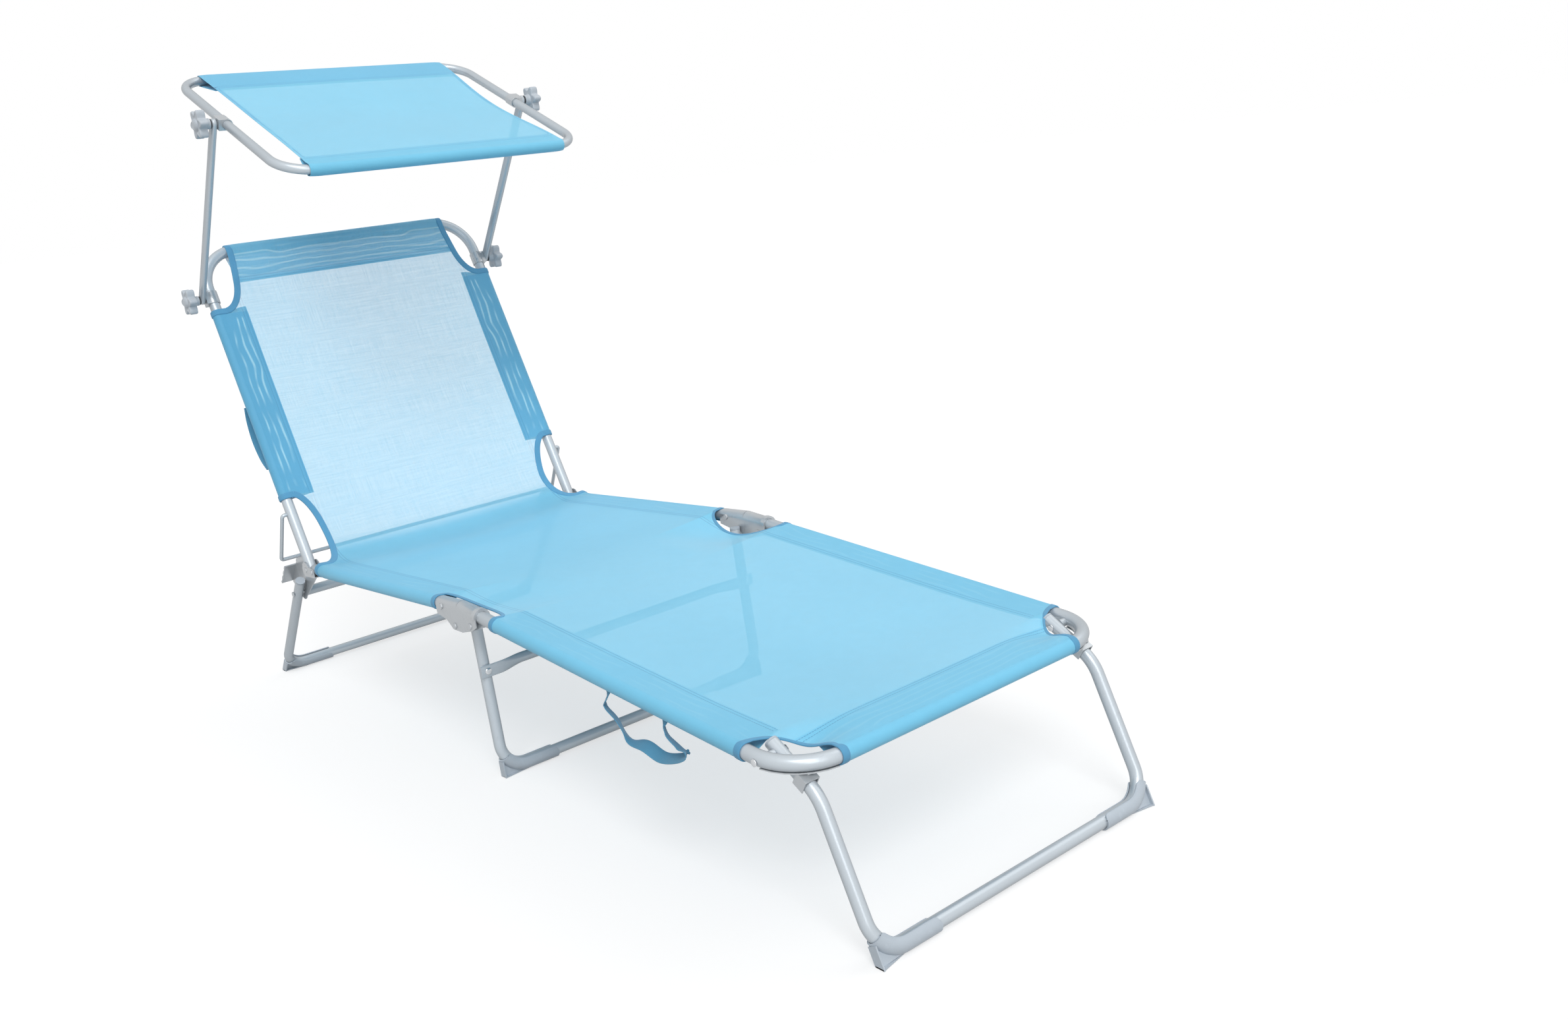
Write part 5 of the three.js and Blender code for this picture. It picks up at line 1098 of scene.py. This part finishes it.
def clothValues(x, s):
    # Point values for the cloth: depth into the nearest hem, place and run in it, its width, light lines and
    # tone, depth into the seam, how open the weave is, and the painted shade of the fold at the back hinge.
    x, s = np.broadcast_arrays(np.abs(x), s)
    side = x - (halfWidth - sling["sideHem"])
    values = {"band": np.full(x.shape, -1.0), "lane": side, "run": s, "hemWidth": np.full(x.shape, sling["sideHem"]),
              "streak": np.zeros(x.shape), "steady": np.zeros(x.shape), "hemTone": np.zeros(x.shape),
              "seam": np.where((s > along["foot0"]) & (s < along["back1"] + 0.05), side, -1.0)}

    def take(depth, **new):
        # where this hem is deeper than those before, its values take their place
        deeper = depth > values["band"]
        for key, value in {"band": depth, **new}.items():
            values[key] = np.where(deeper, value, values[key])

    for s0, s1, (light, tone) in ((along["foot0"], along["foot1"], hemLook["side"]),
                                  (along["seat0"], along["seat1"], hemLook["side"]),
                                  (along["back0"] + 0.002, along["back1"] - 0.010, hemLook["back"])):
        toEnd = np.minimum(s - s0, s1 - s)
        # plain stretches part the light lines of a side hem
        share = (s - s0) / (s1 - s0)
        plain = sum(np.exp(-((share - at) / hemLook["plainWide"]) ** 2) for at in hemLook["plainAt"])
        light = light * np.clip(1 - plain, 0, 1) * ease((toEnd - 0.008) / 0.004)
        take(np.minimum(side, toEnd), streak=light, hemTone=tone)
    for depth, wide, (light, tone) in ((sling["frontHem"] - s, sling["frontHem"], hemLook["front"]),
                                       (s - (topAt - sling["topHem"]), sling["topHem"], hemLook["top"])):
        take(depth, streak=light, hemTone=tone, lane=depth, run=x, hemWidth=wide, steady=1.0)
        values["seam"] = np.maximum(depth, values["seam"])
    # dense on the seat, more open on the foot part, fully open on the back and most so in the top hem
    openness = (openWeave["foot"] - openWeave["seatLess"] * ease((s - footLength + 0.15) / 0.30)
                + openWeave["backMore"] * ease((s - hingeAt + 0.01) / 0.05))
    values["openness"] = openness * (1 + openWeave["topMore"] * ease((s - topAt + sling["topHem"]) / 0.012))
    # painted shade across the crease at the back hinge, deepest a little before it
    fromFold = (s - hingeAt + foldShade["before"]) / foldShade["wide"]
    values["foldDark"] = foldShade["dark"] * np.exp(-fromFold ** 2)
    return values


def addSheet(pile, start, end):
    # The single layer from start to end, with its edges at halfAt.
    rows = rowStations(start, end)
    t = np.linspace(-1, 1, sling["columns"] + 1)
    x = np.where(t < 0, halfAt(rows, -1)[:, None], halfAt(rows, 1)[:, None]) * t[None]
    s = np.broadcast_to(rows[:, None], x.shape)
    pile.addGrid(clothAt(x, s, sheetOff(x, s)), np.stack([x, s], -1), values=clothValues(x, s))


# angles round a rail from its top to below the hem, shares of the way from there to the hem line and of
# the rise to it, and the values of a sleeve, which lies wholly inside its hem
sleeveTurn = np.radians(np.linspace(90, -115, 22))
toHem = np.linspace(0, 1, 9)[1:]
hemRise = ease(toHem) ** 0.7
sleeveValues = {"band": hemLook["depthInSleeve"], "seam": hemLook["depthInSleeve"], "streak": 0.0}


def addSideSleeve(pile, s0, s1, side):
    # Cloth carried on round the rail and back to the hem line below the sheet.
    rows = np.linspace(s0, s1, max(3, int((s1 - s0) / 0.012)))
    ringX, ringOff = halfWidth + sling["over"] * np.cos(sleeveTurn), sling["over"] * np.sin(sleeveTurn)
    hemX = halfWidth - sling["sideHem"]
    x = np.concatenate([ringX, ringX[-1] + (hemX - ringX[-1]) * toHem])
    s, x2 = np.meshgrid(rows, x, indexing="ij")
    endOff = sheetOff(hemX, rows) - sling["under"]
    back = ringOff[-1] + (endOff[:, None] - ringOff[-1]) * hemRise[None]
    off = np.concatenate([np.broadcast_to(ringOff, (len(rows), len(ringOff))), back], 1)
    flat = halfWidth + runAlong(np.stack([x, off[0]], 1))
    uv = np.stack(np.broadcast_arrays(side * flat[None], s), -1)
    pile.addGrid(clothAt(side * x2, s, off), uv, values={**clothValues(halfWidth, s), **sleeveValues})


def bendDrop(x, bend):
    # How far the corner of a tube has left its straight run at x: bend - sqrt(bend^2 - past^2).
    past = np.clip(np.abs(x) - (halfWidth - bend), 0, bend)
    return bend - np.sqrt(bend * bend - past * past)


def pastEnds(s):
    # Rail line in Y and Z at distance s, carried straight on past both ends.
    on = np.clip(s, 0, topAt)
    y, z, angle = centreLine(on)
    return y + (s - on) * np.cos(angle), z + (s - on) * np.sin(angle), angle


def addEndSleeve(pile, half, at, hem, turn):
    # A sleeve round the front rail (turn -1) or the top rail (turn 1), where the rail may begin to bend.
    ringS, ringOff = at + turn * sling["over"] * np.cos(sleeveTurn), sling["over"] * np.sin(sleeveTurn)
    hemS = at - turn * hem
    hemOff = sheetOff(0.1, hemS) - sling["under"]
    s = np.concatenate([ringS, ringS[-1] + (hemS - ringS[-1]) * toHem])
    off = np.concatenate([ringOff, ringOff[-1] + (hemOff - ringOff[-1]) * hemRise])[:, None]
    s2, x2 = np.meshgrid(s, np.linspace(-half, half, 49), indexing="ij")
    follow = np.concatenate([0 * ringS + 1, 1 - toHem])[:, None]
    s2 = s2 - turn * bendDrop(x2, tubes["footCorner"]) * follow
    # the underside stays just below the sheet, also where that droops
    under = sheetOff(x2, np.clip(s2, 0, topAt)) - sling["under"]
    share = np.concatenate([0 * ringS, hemRise])[:, None]
    points = standOff(x2, *pastEnds(s2), off * (1 - share) + np.minimum(off, under) * share)
    flat = at + turn * runAlong(np.stack([s, off[:, 0]], 1))
    uv = np.stack(np.broadcast_arrays(x2, flat[:, None]), -1)
    pile.addGrid(points, uv, values={**clothValues(0 * x2, at), **sleeveValues, "run": np.abs(x2)})


def clothSkin(obj):
    # Thickness to both sides; the rims are marked sharp, so that the cloth stays smooth up to them.
    mesh = obj.data
    used = np.zeros(len(mesh.loops), np.int32)
    mesh.loops.foreach_get("edge_index", used)
    flags = np.zeros(len(mesh.edges), bool)
    sharp = mesh.attributes.get("sharp_edge") or mesh.attributes.new("sharp_edge", "BOOLEAN", "EDGE")
    sharp.data.foreach_get("value", flags)
    sharp.data.foreach_set("value", flags | (np.bincount(used, minlength=len(flags)) == 1))
    skin = obj.modifiers.new("clothThickness", "SOLIDIFY")
    skin.thickness, skin.offset = sling["thick"], 0.0


def bends(obj):
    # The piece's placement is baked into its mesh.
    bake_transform(obj)


def makeSling(name, start, end, replaced):
    # The cloth from start to end: sheet, side sleeves and the sleeve at its own end.
    pile = MeshPile()
    addSheet(pile, start, end)
    for part in ("foot", "seat", "back"):
        low, high = max(along[part + "0"], start), min(along[part + "1"], end)
        if high - low > 0.02:
            for side in (-1, 1):
                addSideSleeve(pile, low, high, side)
    if start == 0:
        addEndSleeve(pile, sling["frontHalf"], 0.0, sling["frontHem"], -1)
    else:
        addEndSleeve(pile, sling["topHalf"], topAt, sling["topHem"], 1)
    obj = addPiece(name, pile.toMesh(name, weld=1e-6, outward=False), "seat", None, 60)
    clothSkin(obj)
    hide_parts(*replaced)
    bends(obj)
    return obj


midFold = (("foot_frame", "seat_frame"), place(0, 0.672, footZ(0.672)), place(0, 0.832, footZ(0.672)))
backFold = (("seat_frame", "back_frame"), place(0, lounger["hingeY"] - 0.050, lounger["hingeZ"]),
            place(0, *backPlace(0.115)))
slingFront = makeSling("sling_foot_and_seat", 0.0, sling["splitAt"], ["foot_sling", "seat_sling"])
slingBack = makeSling("sling_seat_and_back", sling["splitAt"], topAt, ["back_sling"])
print("sling made")

# binding tape round the cut-outs
binding = {"wideEdge": 0.0105, "thinEdge": 0.0050, "ringWide": 0.0095, "outside": 0.0012, "wideThick": 0.0018,
           "thinThick": 0.0012, "squareness": 0.45, "cutPoints": 70}
ringTurn = np.radians(np.linspace(-118, 88, 26))  # round a rail, from below the hem up to the top of the sleeve


def squaredTo(line, directions):
    # Directions at the points of a line, made square to it and of length 1, and the line's own directions.
    tangents = np.gradient(line, axis=0)
    tangents /= np.linalg.norm(tangents, axis=1)[:, None]
    square = directions - tangents * np.sum(directions * tangents, 1)[:, None]
    return square / np.linalg.norm(square, axis=1)[:, None], tangents


def addBand(pile, line, across, normals, u, v):
    # A band along a line: its outline goes u across and v off it, and its ends are closed.
    rings = line[:, None] + across[:, None] * u[..., None] + normals[:, None] * v[None, :, None]
    pile.addGrid(rings, np.stack(np.broadcast_arrays(u, runAlong(line)[:, None]), -1), closeColumns=True)
    pile.addCap(rings[0], flip=True)
    pile.addCap(rings[-1])


def sweepTape(pile, points, normals, side, inside, halfThick):
    # A flat rounded band along points; normals stand off the cloth, and the band lies to its inner side.
    keep = np.concatenate([[True], np.linalg.norm(np.diff(points, axis=0), axis=1) > 0.0006])
    points, inside = points[keep], inside[keep, None]
    normals, tangents = squaredTo(points, normals[keep])
    inward = np.cross(normals, tangents)
    if side * inward[len(points) // 2, 0] > 0:
        inward = -inward
    a = np.linspace(0, math.tau, 20, endpoint=False)
    outside, power = binding["outside"], binding["squareness"]
    u = (inside - outside) / 2 + (inside + outside) / 2 * swell(np.cos(a), power)
    addBand(pile, points, inward, normals, u, halfThick * swell(np.sin(a), power))


def ringRound(s, side):
    # Points and normals round the side rail at s.
    angle = centreLine(s)[2]
    c, up = np.cos(ringTurn), np.sin(ringTurn)
    points = clothAt(side * (halfWidth + sling["over"] * c), s, sling["over"] * up)
    return points, np.stack([side * c, -up * np.sin(angle), up * np.cos(angle)], -1)


def endRing(x, at, turn):
    # Points and normals round the front or top rail at x.
    c, up = np.cos(ringTurn), np.sin(ringTurn)
    y, z, angle = pastEnds(at + turn * (sling["over"] * c - bendDrop(x, tubes["footCorner"])))
    normals = np.stack([0 * c, turn * c * np.cos(angle) - up * np.sin(angle),
                        turn * c * np.sin(angle) + up * np.cos(angle)], -1)
    return standOff(x, y, z, angle, sling["over"] * up), normals


def edgeLine(s0, s1, side):
    # Points and normals along the cut edge between s0 and s1.
    a = np.linspace(0, math.pi, binding["cutPoints"])
    s = s0 + (s1 - s0) * (1 - np.cos(a)) / 2
    half = halfAt(np.clip(s, s0 + 0.0003, s1 - 0.0003), side)
    angle = centreLine(s)[2]
    slope = 2 * sagAt(s) * half / halfWidth ** 2 * side
    return clothAt(side * half, s, sheetOff(side * half, s)), np.stack([-slope, -np.sin(angle), np.cos(angle)], -1)


def cutBinding(name, s0, s1, side, ends, body=None, fold=None):
    # Tape round one cut-out, with a ring round the rail at each end named.
    parts = [edgeLine(s0, s1, side)]
    if "first" in ends:
        parts.insert(0, ringRound(s0, side))
    if "last" in ends:
        parts.append([p[::-1] for p in ringRound(s1, side)])
    if "frontRail" in ends:
        parts.insert(0, endRing(sling["frontHalf"] * side, 0.0, -1))
    if "topRail" in ends:
        parts.append([p[::-1] for p in endRing(sling["topHalf"] * side, topAt, 1)])
    points, normals = (np.concatenate(each) for each in zip(*parts))
    # wide on the rings, narrow on the cut edge, eased between them over a few points
    kind = "wide" if s1 > hingeAt else "thin"
    widths = {True: binding[kind + "Edge"], False: binding["ringWide"]}
    wide = np.concatenate([np.full(len(p), widths[len(p) == binding["cutPoints"]]) for p, _ in parts])
    soft = np.convolve(np.pad(wide, 3, mode="edge"), np.full(7, 1 / 7), mode="valid")
    pile = MeshPile()
    sweepTape(pile, points, normals, side, soft, binding[kind + "Thick"])
    obj = finished(pile, name, "binding", body, smooth=60)
    if fold:
        bends(obj)
    return obj


frontBindings, backBindings = [], []
for side, s in (("left", -1), ("right", 1)):
    frontBindings += [
        cutBinding(f"binding_foot_corner_{side}", 0.0, along["foot0"], s, ("frontRail", "last"), "foot_frame"),
        cutBinding(f"binding_mid_hinge_{side}", along["foot1"], along["seat0"], s, ("first", "last"), None, midFold)]
    backBindings += [
        cutBinding(f"binding_back_hinge_{side}", along["seat1"], along["back0"], s, ("first", "last"), None, backFold),
        cutBinding(f"binding_top_corner_{side}", along["back1"], topAt, s, ("first", "topRail"), "back_frame")]
print("bindings made")


# canopy cloth
def makeCanopyCloth():
    # One sheet over both rails, sagging by sin squared, with a sleeve round each rail and drawn-in side edges.
    r = lounger["canopyRadius"] + canopy["over"]
    length, rearHem = canopy["length"], canopy["rearHem"]
    a = np.radians(np.linspace(-118, 90, 22))
    t = np.linspace(0, 1, 9)
    v = np.linspace(0, 1, 60)[1:-1]
    fat = r + canopy["frontSlack"] * np.cos(a / 2) ** 2
    hemOff = r - canopy["sag"] * math.sin(math.pi * (1 - rearHem / length)) ** 2 - canopy["rearHemUnder"]
    under = canopy["frontHemUnder"]
    # path in (along, off): front hem below, round the front rail, over, round the rear rail, rear hem below
    parts = [(canopy["frontHem"] * (1 - t[:-1]), r - under - (2 * r - under) * t[:-1]),
             (-fat * np.cos(a), fat * np.sin(a)),
             (length * v, r - canopy["sag"] * np.sin(math.pi * v) ** 2),
             (length + r * np.cos(a[::-1]), r * np.sin(a[::-1])),
             (length - rearHem * t[1:], -r + (hemOff + r) * t[1:])]
    line = np.concatenate([np.stack(part, 1) for part in parts])
    run, off = line[:, :1], line[:, 1:]
    share = np.clip(run / length, 0, 1)
    across = np.linspace(-1, 1, 57)[None]
    half = canopy["clothHalf"] - canopy["waist"] * np.sin(share * math.pi) ** 1.5
    x = half * across
    ripple = np.sin(run / length * canopy["rippleRun"] + across * canopy["rippleAcross"]) * (1 - across ** 4)
    # past the start of the frame's bends the sleeves follow the tube
    y, z = canopyPlace(run + bendDrop(x, tubes["canopyCorner"]) * (1 - 2 * share),
                       off + canopy["ripple"] * ripple * np.sin(share * math.pi))
    start = len(parts[0][0]) + len(a)
    rows = np.arange(len(line))[:, None]
    onTop = (rows >= start - 2) & (rows < start + len(v) + 2)
    band = np.where(onTop, np.maximum(rearHem - length + run, canopy["frontHem"] - run), sleeveValues["band"])
    band = np.maximum(band, canopy["sideSeam"] - (half - np.abs(x)))
    tone = np.where(run > length / 2, hemLook["canopyRear"], hemLook["canopyFront"])
    values = {"band": band, "lane": band, "seam": band, "run": np.abs(x), "hemWidth": rearHem, "streak": 0.0,
              "steady": 0.0, "hemTone": tone, "openness": openWeave["canopy"]}
    pile = MeshPile()
    pile.addGrid(np.stack([x, y - lounger["middle"], z], -1),
                 np.stack(np.broadcast_arrays(x, runAlong(line)[:, None]), -1), values=values)
    mesh = pile.toMesh("canopy_cloth_sheet", weld=0, outward=False)
    obj = addPiece("canopy_cloth_sheet", mesh, "canopy", "canopy_frame", 60)
    clothSkin(obj)
    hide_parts("canopy_cloth")


makeCanopyCloth()


# straps
def smoothLine(points):
    # Catmull-Rom curve of 90 points through the points.
    p = np.array(points, float)
    p = np.concatenate([[2 * p[0] - p[1]], p, [2 * p[-1] - p[-2]]])
    t = np.linspace(0, len(points) - 1.000001, 90)
    i = t.astype(int)
    f = (t - i)[:, None]
    p0, p1, p2, p3 = p[i], p[i + 1], p[i + 2], p[i + 3]
    return 0.5 * (2 * p1 + (p2 - p0) * f + (2 * p0 - 5 * p1 + 4 * p2 - p3) * f ** 2
                  + (3 * p1 - p0 - 3 * p2 + p3) * f ** 3)


def makeRibbon(name, points, widths, size, body, node):
    # Flat webbing along a smooth line; widths are the directions across it at each given point.
    line = smoothLine(points)
    across, tangents = squaredTo(line, smoothLine(widths))
    a = np.linspace(0, math.tau, 24, endpoint=False)
    u, v = (swell(w, size["squareness"]) for w in (np.cos(a), np.sin(a)))
    pile = MeshPile()
    addBand(pile, line, across, np.cross(tangents, across), size["width"] / 2 * u[None], size["thick"] / 2 * v)
    return finished(pile, name, "strap", body, node, 60)


hang = railRadius + 0.0023
strap = {"width": 0.020, "thick": 0.0014, "squareness": 0.35, "sewn": (0.15, 0.98, 0.05),
         "edgeOn": (0.60, 0.78, -0.15), "faceOn": (0.88, 0.40, 0.26)}
points, widths = [], []
for y, drop in ((0.376, 0.0), (0.378, 0.010), (0.386, 0.026), (0.363, 0.039), (0.338, 0.058), (0.300, 0.055),
                (0.263, 0.058), (0.222, 0.044), (0.210, 0.034), (0.223, 0.031), (0.246, 0.022), (0.252, 0.009),
                (0.250, 0.0)):
    points.append(place(-halfWidth, y, footZ(y) - hang - drop))
    lowest = "faceOn" if 0.21 < y < 0.31 and drop > 0.04 else "edgeOn"
    widths.append(strap["sewn" if drop < 0.009 else lowest])
carryStrap = makeRibbon("carry_strap_webbing", points, widths, strap, "foot_frame", "carry_strap")
tie = {"width": 0.022, "thick": 0.0014, "squareness": 0.35}
points = [place(-halfWidth, *backPlace(a, -(hang + 0.0003 + o)))
          for a, o in ((0.205, 0.0), (0.230, 0.014), (0.268, 0.021), (0.305, 0.014), (0.330, 0.0))]
tieLoop = makeRibbon("tie_loop_webbing", points, [(1.0, 0.0, 0.0)] * len(points), tie, "back_frame", "tie_loop")
print("canopy cloth and straps made")

# camera, floor and light
view = {"focal": 2149.654, "pictureWidth": 2380, "sensor": 36.0, "yaw": 0.677, "pitch": 0.247, "roll": -0.115,
        "eye": (-1.179675, -1.156258, 0.901321)}
surround = {"floorZ": -0.0005, "floorHalf": 60, "floorGrey": 0.46, "floorGlow": 0.60, "sky": 0.58, "skySeen": 0.42}
camera = bpy.data.objects.new("camera", bpy.data.cameras.new("camera"))
bpy.context.scene.collection.objects.link(camera)
camera.data.sensor_width = view["sensor"]
camera.data.lens = view["focal"] / view["pictureWidth"] * view["sensor"]
camera.data.clip_start, camera.data.clip_end = 0.05, 200.0
look = Vector((math.sin(view["yaw"]) * math.cos(view["pitch"]), math.cos(view["yaw"]) * math.cos(view["pitch"]),
               -math.sin(view["pitch"])))
right = Vector((math.cos(view["yaw"]), -math.sin(view["yaw"]), 0.0))
above = right.cross(look)
c, s = math.cos(view["roll"]), math.sin(view["roll"])
right, above = c * right + s * above, -s * right + c * above
turned = Matrix.Identity(4)
for i in range(3):
    turned[i][0], turned[i][1], turned[i][2] = right[i], above[i], -look[i]
camera.matrix_world = Matrix.Translation(place(*view["eye"])) @ turned
bpy.context.scene.camera = camera


def seenRays(tree):
    # 1 for rays that come from the camera, a mirror or glass, 0 for the light that falls on the piece.
    rays = tree.nodes.new("ShaderNodeLightPath")
    seen = calc(tree, "MAXIMUM", rays.outputs["Is Camera Ray"], rays.outputs["Is Glossy Ray"])
    return calc(tree, "MAXIMUM", seen, rays.outputs["Is Transmission Ray"])


# the floor glows a little to the camera, so that it comes out white without lighting the piece from below
floorMesh = bpy.data.meshes.new("floor")
wide, low = surround["floorHalf"], surround["floorZ"]
floorMesh.from_pydata([(-wide, -wide, low), (wide, -wide, low), (wide, wide, low), (-wide, wide, low)], [],
                      [(0, 1, 2, 3)])
floor = bpy.data.objects.new("floor", floorMesh)
bpy.context.scene.collection.objects.link(floor)
m, tree, shader, coords = newMaterial("paleFloor")
shader.inputs["Base Color"].default_value = (surround["floorGrey"],) * 3 + (1,)
shader.inputs["Roughness"].default_value = 0.9
shader.inputs["Specular IOR Level"].default_value = 0.0
shader.inputs["Emission Color"].default_value = (1, 1, 1, 1)
tree.links.new(times(tree, seenRays(tree), surround["floorGlow"]), shader.inputs["Emission Strength"])
floorMesh.materials.append(m)

# a white sky, brighter to the camera than as a light
world = bpy.data.worlds.new("studio")
bpy.context.scene.world = world
world.use_nodes = True
tree = world.node_tree
back = tree.nodes["Background"]
back.inputs["Color"].default_value = (1, 1, 1, 1)
tree.links.new(calc(tree, "MULTIPLY_ADD", seenRays(tree), surround["skySeen"], surround["sky"]),
               back.inputs["Strength"])


def addSun(name, direction, strength, softness):
    # An even light from far away, so that the floor stays level; direction points from the lamp.
    lamp = bpy.data.lights.new(name, "SUN")
    lamp.energy, lamp.angle = strength, math.radians(softness)
    o = bpy.data.objects.new(name, lamp)
    bpy.context.scene.collection.objects.link(o)
    o.rotation_mode = "QUATERNION"
    o.rotation_quaternion = Vector(direction).to_track_quat("-Z", "Y")


addSun("keyLamp", (1.3, 2.0, -2.8), 1.08, 24)
addSun("frontLamp", (0.35, 1.0, -0.42), 0.54, 30)
addSun("fillLamp", (-2.4, 0.6, -2.6), 0.35, 40)
bpy.context.scene.view_settings.view_transform = "Standard"
